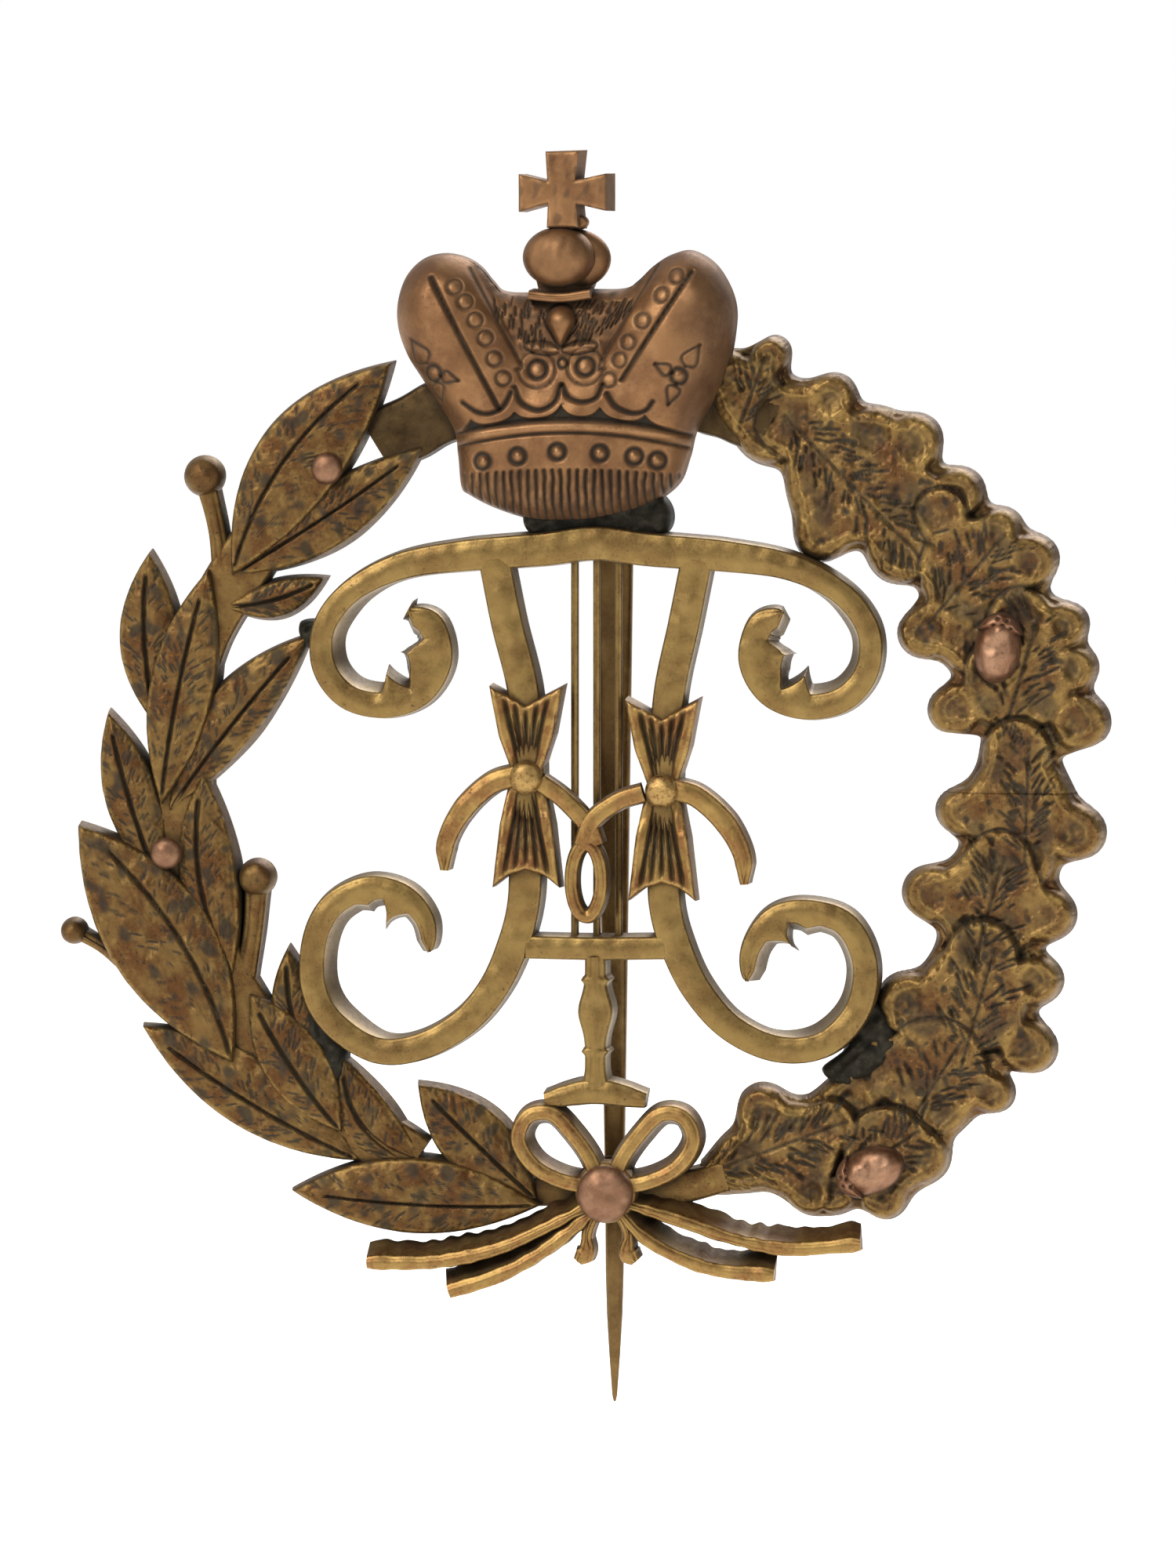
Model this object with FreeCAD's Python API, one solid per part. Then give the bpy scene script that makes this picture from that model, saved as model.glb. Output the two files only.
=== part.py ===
"""Wreath cap badge: laurel and oak branches, a crown, a lyre, a ribbon tie and a hinged needle.

Units are millimetres. The origin is the wreath's centre in the plane that lies on the cap.
+X is to the right as seen from the front, +Y goes back into the cap and +Z goes up to the crown.
Each piece is written to parts/NODE.step.
"""

import FreeCAD, Part
import math
import os

from FreeCAD import Vector

# ---------------------------------------------------------------- driving dimensions

WREATH_RADIUS = 19.6
BACK = 0.0                      # plane of the branches' backs, which lies on the cap
RIM_FRONT = -1.5                # front of the leaves on the branches' edges
SPINE_FRONT = -2.1              # front of the leaves that lie over them
OAK_FRONT = -1.9
PLATE_BACK = -0.8               # the lyre stands this far off the cap
PLATE_FRONT = -2.8
BOW_FRONT = -3.3
BOW_BACK = -1.6
CROWN_BACK = -1.4               # the crown lies on the bridge bar
CROWN_X = -1.0
TIE_BACK = -1.1                 # the tie lies on the two stems
TIE_FRONT = -2.9
RIVET_X = 0.8                   # the tie rivet, and the needle's centre line
RIVET_Z = -19.0
STRAP_STEPS = 24                # offset points along each side of a band
TINY = 0.02                     # running gap of the needle on its axle, per side

BALL_FRONT = -6.0               # well in front of everything, for cutting shapes


# ---------------------------------------------------------------- shapes in the badge's plane


def point(x, z, y=0.0):
    """A point given by its place as seen from the front."""
    return Vector(x, y, z)


def slab(wire, front, back):
    """The closed outline, extruded from its front plane to its back plane."""
    face = Part.Face(wire)
    face.translate(Vector(0, front, 0))
    return face.extrude(Vector(0, back - front, 0))


def disc(x, z, radius, front, back):
    """A round plate or shank along the depth."""
    return Part.makeCylinder(radius, back - front, point(x, z, front), Vector(0, 1, 0))


def smooth_edge(places):
    """One smooth edge through the places."""
    curve = Part.BSplineCurve()
    curve.interpolate([point(x, z) for x, z in places])
    return curve.toShape()


def straight_edge(start, end):
    """One straight edge between two places."""
    return Part.makeLine(point(*start), point(*end))


def polygon(places):
    """A closed outline with straight sides."""
    return Part.makePolygon([point(x, z) for x, z in [*places, places[0]]])


def outline(places):
    """A closed smooth outline through the places."""
    curve = Part.BSplineCurve()
    curve.interpolate([point(x, z) for x, z in places], True)
    return Part.Wire([curve.toShape()])


def joined(pieces):
    """The pieces grown together into one solid."""
    whole = pieces[0].multiFuse(pieces[1:])
    return whole.removeSplitter()


def fitted(piece, *neighbours):
    """The piece, cut back to where its neighbours begin."""
    for neighbour in neighbours:
        piece = piece.cut(neighbour)
    return piece


def eased(values, share):
    """The value at this share of the way through evenly spaced values."""
    place = share * (len(values) - 1)
    index = min(int(place), len(values) - 2)
    part = place - index
    return values[index] * (1 - part) + values[index + 1] * part


def strap(path, widths, front, back):
    """A flat band along a smooth path, whose width eases through the listed widths."""
    line = Part.BSplineCurve()
    line.interpolate([point(x, z) for x, z in path])
    first, last = line.FirstParameter, line.LastParameter
    left, right = [], []
    for step in range(STRAP_STEPS + 1):
        share = step / STRAP_STEPS
        spot = line.value(first + share * (last - first))
        along = line.tangent(first + share * (last - first))[0]
        half = eased(widths, share) / 2
        left.append((spot.x - along.z * half, spot.z + along.x * half))
        right.append((spot.x + along.z * half, spot.z - along.x * half))
    edges = [smooth_edge(left), straight_edge(left[-1], right[-1])]
    edges += [smooth_edge(right[::-1]), straight_edge(right[0], left[0])]
    return slab(Part.Wire(edges), front, back)


def leaf(base, tip, left, right, front, back=BACK):
    """A pointed leaf: two arcs from base to tip, each bulging to one side of the line between."""
    along = (tip[0] - base[0], tip[1] - base[1])
    length = math.hypot(*along)
    across = (-along[1] / length, along[0] / length)
    middle = ((base[0] + tip[0]) / 2, (base[1] + tip[1]) / 2)
    sides = []
    for bulge in (left, -right):
        crest = point(middle[0] + across[0] * bulge, middle[1] + across[1] * bulge)
        sides.append(Part.Arc(point(*base), crest, point(*tip)).toShape())
    return slab(Part.Wire(sides), front, back)


def ring_band(inner, outer, start, end, front, back):
    """Part of a flat ring round the wreath's centre, between two bearings in degrees."""
    band = disc(0, 0, outer, front, back).cut(disc(0, 0, inner, front - 1, back + 1))
    reach = 2 * outer
    corners = [(0, 0)]
    for bearing in (start, (start + end) / 2, end):
        corners.append((reach * math.cos(math.radians(bearing)), reach * math.sin(math.radians(bearing))))
    return band.common(slab(polygon(corners), front, back))


def ellipsoid(centre, semi_axes, tilt=0.0):
    """A ball stretched to three half-sizes and tilted in the badge's plane, in degrees."""
    stretch = FreeCAD.Matrix()
    stretch.scale(*semi_axes)
    ball = Part.makeSphere(1.0).transformGeometry(stretch)
    ball.rotate(Vector(0, 0, 0), Vector(0, 1, 0), tilt)
    ball.translate(Vector(*centre))
    return ball


def block(low, high):
    """A box between two corners."""
    return Part.makeBox(high[0] - low[0], high[1] - low[1], high[2] - low[2], Vector(*low))


# ---------------------------------------------------------------- laurel branch

# Each leaf: base, tip, how far it bulges to the left and right of the line between, and its front.
LAUREL_LEAVES = [
    ((-17.1, 10.2), (-9.5, 20.3), 2.8, 1.3, RIM_FRONT),
    ((-17.2, 10.2), (-8.0, 16.3), 1.1, 1.7, SPINE_FRONT),
    ((-17.5, 8.7), (-12.7, 10.1), 0.6, 1.3, RIM_FRONT),
    ((-20.6, 2.8), (-21.1, 11.3), 1.7, 1.2, RIM_FRONT),
    ((-20.5, -0.7), (-18.2, 10.5), 1.7, 1.4, SPINE_FRONT),
    ((-20.2, -1.1), (-13.4, 7.4), 1.9, 0.9, RIM_FRONT),
    ((-17.1, -8.9), (-18.5, 0.9), 1.9, 0.9, SPINE_FRONT),
    ((-20.6, -4.6), (-23.1, 3.7), 1.4, 1.2, RIM_FRONT),
    ((-17.1, -13.0), (-24.5, -1.7), 2.2, 2.9, SPINE_FRONT),
    ((-13.0, -14.1), (-14.5, -7.5), 1.5, 0.7, RIM_FRONT),
    ((-11.0, -17.7), (-21.5, -11.3), 1.7, 1.7, RIM_FRONT),
    ((-11.9, -16.3), (-16.3, -9.7), 1.6, 1.5, SPINE_FRONT),
    ((-8.0, -17.8), (-11.9, -12.7), 2.2, 0.4, RIM_FRONT),
    ((-2.4, -19.7), (-14.3, -19.1), 1.7, 1.9, SPINE_FRONT),
    ((-2.6, -19.5), (-8.3, -14.0), 1.7, 1.6, RIM_FRONT),
]
# Each berry: stalk from the branch to the head, and the head's radius.
BERRIES = [
    ((-17.6, 10.0), (-18.5, 14.9), 0.95),
    ((-22.6, -8.2), (-24.8, -6.8), 0.6),
    ((-16.9, -9.4), (-16.0, -4.2), 0.85),
]
BERRY_STALK_WIDTH = 0.9
LAUREL_RIVETS = {"laurel_rivet_upper": (-12.5, 15.3), "laurel_rivet_lower": (-20.2, -3.0)}
LAUREL_RIVET_HEAD = 0.72
LAUREL_RIVET_SHANK = 0.4
STEM_FRONT = -1.1
LAP_PLANE = -0.55               # the laurel stem's eye lies in front of this, the oak stem's behind
EYE_RADIUS = 1.5
TIE_SHANK = 0.6


def stem(start, bend, front, back):
    """A branch's stem, from its lowest leaf to the eye that the tie rivet goes through."""
    bar = strap([start, bend, (RIVET_X, RIVET_Z)], [1.6, 1.4, 1.4], STEM_FRONT, BACK)
    eye = disc(RIVET_X, RIVET_Z, EYE_RADIUS, front, back)
    bar = bar.cut(disc(RIVET_X, RIVET_Z, EYE_RADIUS, STEM_FRONT - 1, BACK + 1))
    return [bar, eye]


def laurel_branch():
    """The left half of the wreath, one casting: leaves, berries, spine and stem."""
    grown = [leaf(*each) for each in LAUREL_LEAVES]
    grown.append(ring_band(WREATH_RADIUS - 1.2, WREATH_RADIUS + 0.9, 124, 258, RIM_FRONT, BACK))
    for root, head, radius in BERRIES:
        grown.append(strap([root, head], [BERRY_STALK_WIDTH, BERRY_STALK_WIDTH], RIM_FRONT, BACK))
        grown.append(disc(*head, radius, RIM_FRONT, BACK))
    grown += stem((-4.0, -19.3), (-1.6, -19.2), STEM_FRONT, LAP_PLANE)
    return joined(grown)


def laurel_rivet(x, z):
    """A copper rivet with a low domed head, its shank filed flush at the back."""
    head = ellipsoid((x, SPINE_FRONT, z), (LAUREL_RIVET_HEAD, 0.5, LAUREL_RIVET_HEAD))
    head = head.cut(block((x - 2, SPINE_FRONT, z - 2), (x + 2, 2, z + 2)))
    return head.fuse(disc(x, z, LAUREL_RIVET_SHANK, SPINE_FRONT, BACK))


# ---------------------------------------------------------------- oak branch

# Each leaf is a round middle with round lobes: x, z and radius of each.
OAK_LEAVES = [
    [(7.4, 18.6, 1.6), (6.4, 19.6, 1.1), (8.5, 20.7, 0.9), (8.4, 17.1, 1.5)],
    [(12.2, 14.8, 2.9), (9.6, 17.6, 1.8), (11.3, 18.7, 1.1), (15.2, 16.6, 1.3), (17.5, 14.2, 1.1),
     (11.2, 12.0, 1.4), (14.6, 11.4, 1.6)],
    [(18.2, 10.4, 2.4), (16.6, 13.2, 1.4), (18.0, 12.7, 1.2), (19.6, 12.5, 0.7), (20.9, 11.0, 1.2),
     (15.8, 7.6, 1.3), (18.2, 7.3, 1.8)],
    [(20.4, 5.4, 2.2), (20.4, 8.2, 1.6), (22.5, 8.0, 1.0), (23.0, 5.9, 1.0), (23.2, 3.3, 1.4),
     (17.2, 3.9, 1.3)],
    [(20.5, -0.6, 2.3), (20.2, 1.9, 1.7), (23.0, -1.9, 1.4), (17.6, -0.9, 1.2), (20.4, -3.2, 1.6)],
    [(19.0, -5.2, 2.4), (19.4, -3.4, 1.7), (21.7, -5.8, 1.3), (16.2, -4.8, 1.4), (18.5, -8.0, 1.8)],
    [(18.2, -9.7, 2.4), (18.6, -7.6, 1.7), (21.2, -8.9, 1.2), (20.8, -12.1, 1.35), (15.1, -10.0, 1.5)],
    [(16.4, -13.2, 2.4), (19.1, -14.3, 1.0), (13.4, -13.0, 1.7), (12.0, -14.9, 1.6), (16.6, -15.0, 1.3)],
    [(14.2, -17.2, 2.0), (15.7, -17.3, 1.25), (13.9, -19.3, 1.05), (11.6, -19.2, 1.0)],
    [(9.6, -16.9, 2.3), (8.1, -15.1, 1.25), (11.4, -15.6, 1.4), (10.4, -19.1, 1.05), (7.2, -17.6, 1.5)],
]
OAK_DEPTH_STEP = 0.25           # neighbouring leaves differ this much in depth
NUT_HALF_LENGTH = 1.6
NUT_RADIUS = 1.1
# Each acorn: the nut's centre and how far its axis leans from upright, in degrees.
ACORNS = {"acorn_upper": ((19.3, 6.8), 8.0), "acorn_lower": ((13.4, -17.9), -112.0)}


def oak_branch():
    """The right half of the wreath, one casting: lobed leaves, spine and stem."""
    grown = [ring_band(WREATH_RADIUS - 1.0, WREATH_RADIUS + 1.0, -65, 66, OAK_FRONT, BACK)]
    for number, lobes in enumerate(OAK_LEAVES):
        front = OAK_FRONT + OAK_DEPTH_STEP * (number % 2)
        grown += [disc(x, z, radius, front, BACK) for x, z, radius in lobes]
    grown += stem((6.6, -18.2), (3.4, -19.1), LAP_PLANE, BACK)
    return joined(grown)


def acorn(place, lean):
    """A nut and the cup that it sits in, lying on the oak leaves: returns the two."""
    x, z = place
    nut = ellipsoid((0, OAK_FRONT - 0.2, 0), (NUT_RADIUS, NUT_RADIUS, NUT_HALF_LENGTH))
    cup = ellipsoid((0, OAK_FRONT - 0.2, 0), (NUT_RADIUS + 0.25, NUT_RADIUS + 0.25, NUT_HALF_LENGTH + 0.25))
    cup = cup.cut(nut).common(block((-4, -8, 0.55), (4, 4, 4)))
    pieces = []
    for piece in (nut, cup):
        piece.rotate(Vector(0, 0, 0), Vector(0, 1, 0), lean)
        piece.translate(point(x, z))
        pieces.append(piece)
    return pieces


# ---------------------------------------------------------------- crown, orb, cross and bridge

CROWN_DEPTH = 3.6
BASE_OUTLINE = [(-6.9, 18.2), (-6.0, 14.2), (-3.0, 13.2), (-0.9, 13.0), (1.9, 13.3), (4.2, 14.4), (5.0, 18.2)]
LOBE_HALF_WIDTH = 2.65
LOBE_HALF_HEIGHT = 4.3
LOBE_SPREAD = 5.35              # from the crown's axis to each lobe's centre
LOBE_Z = 21.3
LOBE_LEAN = 14.0
PANEL_TOP = 23.6
ORB_CENTRE = (-1.2, -3.1, 25.2)
ORB_SIZES = (1.75, 1.7, 1.55)
CROSS_Z = 28.3
CROSS_FRONT = -3.9
CROSS_BACK = -2.4
BRIDGE_FRONT = -1.4
BRIDGE_SPAN = (64.0, 122.0)


def crown_body():
    """The crown in half relief: a rounded circlet, two puffed lobes and the panel between them."""
    circlet = slab(polygon(BASE_OUTLINE), BALL_FRONT, CROWN_BACK)
    barrel = Part.Ellipse(Vector(CROWN_X, CROWN_BACK, 12), 6.3, CROWN_DEPTH).toShape()
    circlet = circlet.common(Part.Face(Part.Wire([barrel])).extrude(Vector(0, 0, 9)))
    pieces = [circlet]
    for side in (-1, 1):
        centre = (CROWN_X + side * LOBE_SPREAD, CROWN_BACK, LOBE_Z)
        lobe = ellipsoid(centre, (LOBE_HALF_WIDTH, CROWN_DEPTH, LOBE_HALF_HEIGHT), side * LOBE_LEAN)
        pieces.append(lobe)
    panel = [(-4.6, 17.0), (-4.4, PANEL_TOP), (2.2, PANEL_TOP), (2.4, 17.0)]
    pieces.append(slab(polygon(panel), CROWN_BACK - 2.3, CROWN_BACK))
    pieces.append(disc(ORB_CENTRE[0], PANEL_TOP - 0.5, 1.1, CROWN_BACK - 2.6, CROWN_BACK))
    behind = block((-15, CROWN_BACK, 10), (15, 5, 32))
    return joined(pieces).cut(behind)


def crown_cross():
    """The cross: four flared arms, standing on the orb."""
    x = ORB_CENTRE[0]
    waist, flare, side, up, down = 0.62, 0.78, 2.05, 2.0, 2.2
    places = [(-flare, up), (flare, up), (waist, waist), (side, flare), (side, -flare), (waist, -waist)]
    places += [(flare, -down), (-flare, -down), (-waist, -waist)]
    places += [(-side, -flare), (-side, flare), (-waist, waist)]
    return slab(polygon([(x + dx, CROSS_Z + dz) for dx, dz in places]), CROSS_FRONT, CROSS_BACK)


def bridge_bar():
    """The bar behind the crown that joins the tops of the two branches."""
    return ring_band(WREATH_RADIUS - 1.8, WREATH_RADIUS + 1.2, *BRIDGE_SPAN, BRIDGE_FRONT, BACK)


# ---------------------------------------------------------------- lyre

LYRE_X = 0.3
# The uprights are bent by hand: the right volute is lower than the left one.
ARM_PATHS = {
    "left": [(-4.5, 11.0), (-3.9, 8.0), (-3.1, 4.6), (-2.9, 0.8), (-3.0, -2.6), (-3.1, -5.2), (-3.6, -7.2),
             (-4.5, -9.2), (-5.9, -10.9), (-8.0, -12.1), (-10.1, -12.3), (-12.1, -11.1), (-13.1, -9.4),
             (-13.1, -7.2), (-12.3, -5.5), (-10.6, -4.6), (-8.9, -4.9), (-7.9, -6.0), (-7.6, -7.6)],
    "right": [(5.1, 11.0), (4.5, 8.0), (3.8, 4.6), (3.6, 0.8), (3.6, -2.6), (3.6, -5.2), (4.1, -7.2),
              (5.1, -9.3), (6.7, -11.1), (8.9, -12.1), (11.1, -11.9), (12.7, -10.3), (13.1, -8.1),
              (12.2, -6.2), (10.4, -5.6), (8.8, -5.9), (7.8, -7.2), (7.5, -8.9)],
}
ARM_WIDTHS = [1.5, 1.5, 1.5, 1.6, 1.5, 1.3, 1.2, 1.15, 1.1, 0.8]
# The left half of the top bar from the lyre's axis, and its volute.
SCROLL_PATH = [(0.0, 11.8), (-2.5, 11.5), (-6.2, 11.2), (-9.2, 10.7), (-11.6, 9.5), (-12.9, 7.8),
               (-12.9, 5.9), (-11.8, 4.5), (-10.0, 4.1), (-8.3, 4.7), (-7.4, 6.2), (-7.7, 7.9), (-8.9, 8.6)]
SCROLL_WIDTHS = [1.6, 1.55, 1.5, 1.3, 1.1, 1.1, 1.2, 1.4, 1.6, 1.3]
STRING_OFFSETS = (-1.05, 0.0, 1.05)
STRING_RADIUS = 0.17
STRING_Y = -1.8
CROSS_BAR_Z = (-7.9, -6.8)
POST_OUTLINE = [(0.5, -7.7), (0.45, -8.8), (0.85, -10.4), (0.5, -12.2), (0.55, -14.0)]
FOOT_PATH = [(-2.5, -14.6), (-1.3, -14.35), (0.0, -14.2), (1.3, -14.35), (2.5, -14.6)]


def lyre_arm(word):
    """One upright of the lyre, which ends below in a volute."""
    return strap(ARM_PATHS[word], ARM_WIDTHS, PLATE_FRONT, PLATE_BACK)


def lyre_top_bar():
    """The top bar, whose two ends run outwards and roll down into volutes."""
    halves = []
    for side in (-1, 1):
        path = [(LYRE_X - side * x, z) for x, z in SCROLL_PATH]
        halves.append(strap(path, SCROLL_WIDTHS, PLATE_FRONT, PLATE_BACK))
    return joined(halves)


def lyre_strings():
    """Three strings from the top bar to the cross bar."""
    bottom, top = CROSS_BAR_Z[1], 11.1
    wires = []
    for offset in STRING_OFFSETS:
        foot = Vector(LYRE_X + offset, STRING_Y, bottom)
        wires.append(Part.makeCylinder(STRING_RADIUS, top - bottom, foot))
    return wires


def lyre_post():
    """The baluster under the cross bar and the arched foot that it stands on."""
    left = [(LYRE_X - half, z) for half, z in POST_OUTLINE]
    right = [(LYRE_X + half, z) for half, z in POST_OUTLINE]
    sides = [smooth_edge(left), straight_edge(left[-1], right[-1])]
    sides += [smooth_edge(right[::-1]), straight_edge(right[0], left[0])]
    baluster = slab(Part.Wire(sides), PLATE_FRONT, PLATE_BACK)
    foot = strap([(LYRE_X + x, z) for x, z in FOOT_PATH], [0.7, 1.1, 1.2, 1.1, 0.7], PLATE_FRONT, PLATE_BACK)
    return joined([baluster, foot])


# Half of a bow's outline from the knot's centre, clockwise from the top notch.
BOW_OUTLINE = [(0.0, 3.5), (1.7, 4.3), (1.3, 2.0), (0.8, 0.3), (1.3, -2.2), (1.55, -5.2), (0.0, -4.4)]
KNOT_RADIUS = 0.78
KNOT_DEPTH = 0.45
BOW_PLACES = {-1: (-2.95, 0.7), 1: (3.5, 0.1)}
TAIL_PATH = [(0.5, 0.1), (1.7, -0.3), (3.0, -1.5), (3.8, -3.0), (3.9, -4.4)]


def ribbon_bow(side):
    """A bow tied round an upright, with the ribbon's outer end hanging from it."""
    x, z = BOW_PLACES[side]
    half = BOW_OUTLINE + [(-dx, dz) for dx, dz in BOW_OUTLINE[-2:0:-1]]
    bow = slab(polygon([(x + dx, z + dz) for dx, dz in half]), BOW_FRONT, PLATE_BACK)
    tail = strap([(x + side * dx, z + dz) for dx, dz in TAIL_PATH], [1.0, 1.0, 0.9, 0.5],
                 BOW_FRONT, BOW_BACK)
    return joined([bow, tail])


def bow_rivet(side):
    """The round knot of a bow: a rivet through the bow and the upright."""
    x, z = BOW_PLACES[side]
    head = ellipsoid((x, BOW_FRONT, z), (KNOT_RADIUS, KNOT_DEPTH, KNOT_RADIUS))
    head = head.cut(block((x - 2, BOW_FRONT, z - 2), (x + 2, 2, z + 2)))
    return head.fuse(disc(x, z, 0.35, BOW_FRONT, PLATE_BACK))


def ribbon_loop():
    """The loop of ribbon that hangs between the bows, in front of the strings."""
    front, back = BOW_FRONT, -2.1
    outer = [(-0.1, -1.9), (1.0, -3.4), (0.9, -5.2), (-0.1, -6.3), (-1.1, -5.2), (-1.1, -3.4)]
    inner = [(-0.1, -3.2), (0.4, -4.0), (0.35, -4.9), (-0.1, -5.5), (-0.5, -4.9), (-0.55, -4.0)]
    loop = slab(outline(outer), front, back).cut(slab(outline(inner), front - 1, back + 1))
    left = strap([(-2.3, 0.5), (-1.2, -0.3), (0.0, -1.6), (0.3, -2.4)], [0.9, 0.9], front, back)
    right = strap([(2.6, 0.0), (1.4, -0.4), (0.2, -1.3), (-0.2, -2.4)], [0.9, 0.9], front, back)
    return joined([loop, left, right])


# ---------------------------------------------------------------- ribbon tie at the bottom

TIE_LOOPS = [((-1.7, -16.9), 38.0), ((3.2, -16.8), -38.0)]
TIE_LOOP_SIZES = ((2.1, 1.55), (1.35, 0.85))
# The four ends and two curls of the ribbon, from the rivet outwards.
TIE_TAILS = [
    [(0.0, -19.4), (-2.2, -20.5), (-4.5, -21.5), (-7.4, -22.1), (-10.6, -22.2)],
    [(0.0, -19.6), (-1.1, -20.8), (-2.8, -22.0), (-4.6, -22.9), (-6.7, -23.6)],
    [(1.6, -19.4), (4.3, -20.3), (6.9, -21.3), (9.5, -21.8), (12.7, -21.4)],
    [(1.6, -19.6), (2.6, -21.3), (4.4, -22.4), (6.2, -22.9), (8.7, -22.6)],
    [(0.2, -19.6), (-0.2, -20.9), (-0.2, -21.8), (-0.6, -22.3)],
    [(1.4, -19.6), (1.9, -20.9), (1.8, -21.8), (2.2, -22.3)],
]
TAIL_WIDTHS = [1.0, 1.0, 1.0, 0.95]
TIE_HEAD_RADIUS = 1.36


def ribbon_tie():
    """The tied ribbon over the crossed stems: two loops, four ends and two small curls."""
    pieces = [disc(RIVET_X, RIVET_Z, 1.6, TIE_FRONT, TIE_BACK)]
    for (x, z), lean in TIE_LOOPS:
        rings = []
        for long_half, short_half in TIE_LOOP_SIZES:
            oval = Part.Ellipse(Vector(0, 0, 0), long_half, short_half).toShape()
            oval.rotate(Vector(0, 0, 0), Vector(1, 0, 0), 90)
            oval.rotate(Vector(0, 0, 0), Vector(0, 1, 0), lean)
            oval.translate(point(x, z))
            rings.append(slab(Part.Wire([oval]), TIE_FRONT, TIE_BACK))
        pieces.append(rings[0].cut(rings[1]))
    pieces += [strap(path, TAIL_WIDTHS, TIE_FRONT, TIE_BACK) for path in TIE_TAILS]
    hole = disc(RIVET_X, RIVET_Z, TIE_SHANK, TIE_FRONT - 1, BACK)
    return joined(pieces).cut(hole)


def tie_rivet():
    """The copper rivet that holds the tie, both stems and the catch plate together."""
    head = ellipsoid((RIVET_X, TIE_FRONT, RIVET_Z), (TIE_HEAD_RADIUS, 1.0, TIE_HEAD_RADIUS))
    head = head.cut(block((RIVET_X - 2, TIE_FRONT, RIVET_Z - 2), (RIVET_X + 2, 2, RIVET_Z + 2)))
    return head.fuse(disc(RIVET_X, RIVET_Z, TIE_SHANK, TIE_FRONT, CATCH_PLATE_BACK))


# ---------------------------------------------------------------- needle, hinge and catch

NEEDLE_Y = 2.4
HINGE_Z = 19.0
AXLE_RADIUS = 0.4
EYE_HALF_WIDTH = 1.15
NEEDLE_EYE_RADIUS = 0.9
BLADE_TOP_Z = 18.3
BLADE_HALF_WIDTH = 1.0
BLADE_HALF_DEPTH = 0.4
SHAFT_TOP_Z = -20.5
SHAFT_RADIUS = 0.43
POINT_START_Z = -24.2
POINT_Z = -29.5
CATCH_PLATE_FRONT = -0.1        # the plate is bedded this deep in the stem
CATCH_PLATE_BACK = 0.4
CATCH_GAP = 0.09                # how much wider than the shaft each jaw stands off
JAW_WIDTH = 0.45
JAW_BACK = 3.1


def needle():
    """The needle: an eye on the axle, a flat blade that tapers to a round shaft, and the point."""
    eye = Part.makeCylinder(NEEDLE_EYE_RADIUS, 2 * EYE_HALF_WIDTH,
                            Vector(RIVET_X - EYE_HALF_WIDTH, NEEDLE_Y, HINGE_Z), Vector(1, 0, 0))
    top_left, top_right = RIVET_X - BLADE_HALF_WIDTH, RIVET_X + BLADE_HALF_WIDTH
    low_left, low_right = RIVET_X - SHAFT_RADIUS, RIVET_X + SHAFT_RADIUS
    flat = polygon([(top_left, BLADE_TOP_Z), (top_right, BLADE_TOP_Z),
                    (low_right, SHAFT_TOP_Z), (low_left, SHAFT_TOP_Z)])
    blade = slab(flat, NEEDLE_Y - BLADE_HALF_DEPTH, NEEDLE_Y + BLADE_HALF_DEPTH)
    shaft = Part.makeCylinder(SHAFT_RADIUS, SHAFT_TOP_Z - POINT_START_Z,
                              Vector(RIVET_X, NEEDLE_Y, POINT_START_Z))
    tip = Part.makeCone(0.04, SHAFT_RADIUS, POINT_START_Z - POINT_Z, Vector(RIVET_X, NEEDLE_Y, POINT_Z))
    bore = axle_cylinder(AXLE_RADIUS + TINY, EYE_HALF_WIDTH + 1)
    return joined([eye, blade, shaft, tip]).cut(bore)


def axle_cylinder(radius, half_length):
    """A cylinder on the hinge's axis."""
    return Part.makeCylinder(radius, 2 * half_length, Vector(RIVET_X - half_length, NEEDLE_Y, HINGE_Z),
                             Vector(1, 0, 0))


def hinge_axle():
    """The hinge pin, with a small peened head at each end."""
    half = EYE_HALF_WIDTH + 0.9
    pieces = [axle_cylinder(AXLE_RADIUS, half)]
    for side in (-1, 1):
        start = RIVET_X + side * (half - 0.1) - 0.15
        head = Part.makeCylinder(0.6, 0.3, Vector(start + side * 0.15, NEEDLE_Y, HINGE_Z), Vector(1, 0, 0))
        pieces.append(head)
    return joined(pieces)


def hinge_bracket():
    """The bracket on the bridge bar: a plate with two round-topped ears."""
    gap, ear = EYE_HALF_WIDTH + 0.08, 0.65
    plate = block((RIVET_X - gap - ear, BACK, HINGE_Z - 1.5), (RIVET_X + gap + ear, 0.5, HINGE_Z + 1.5))
    pieces = [plate]
    for side in (-1, 1):
        inner = RIVET_X + side * gap
        low = min(inner, inner + side * ear)
        pieces.append(block((low, BACK, HINGE_Z - 1.0), (low + ear, NEEDLE_Y, HINGE_Z + 1.0)))
        pieces.append(Part.makeCylinder(1.0, ear, Vector(low, NEEDLE_Y, HINGE_Z), Vector(1, 0, 0)))
    return joined(pieces).cut(axle_cylinder(AXLE_RADIUS, EYE_HALF_WIDTH + 2))


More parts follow.
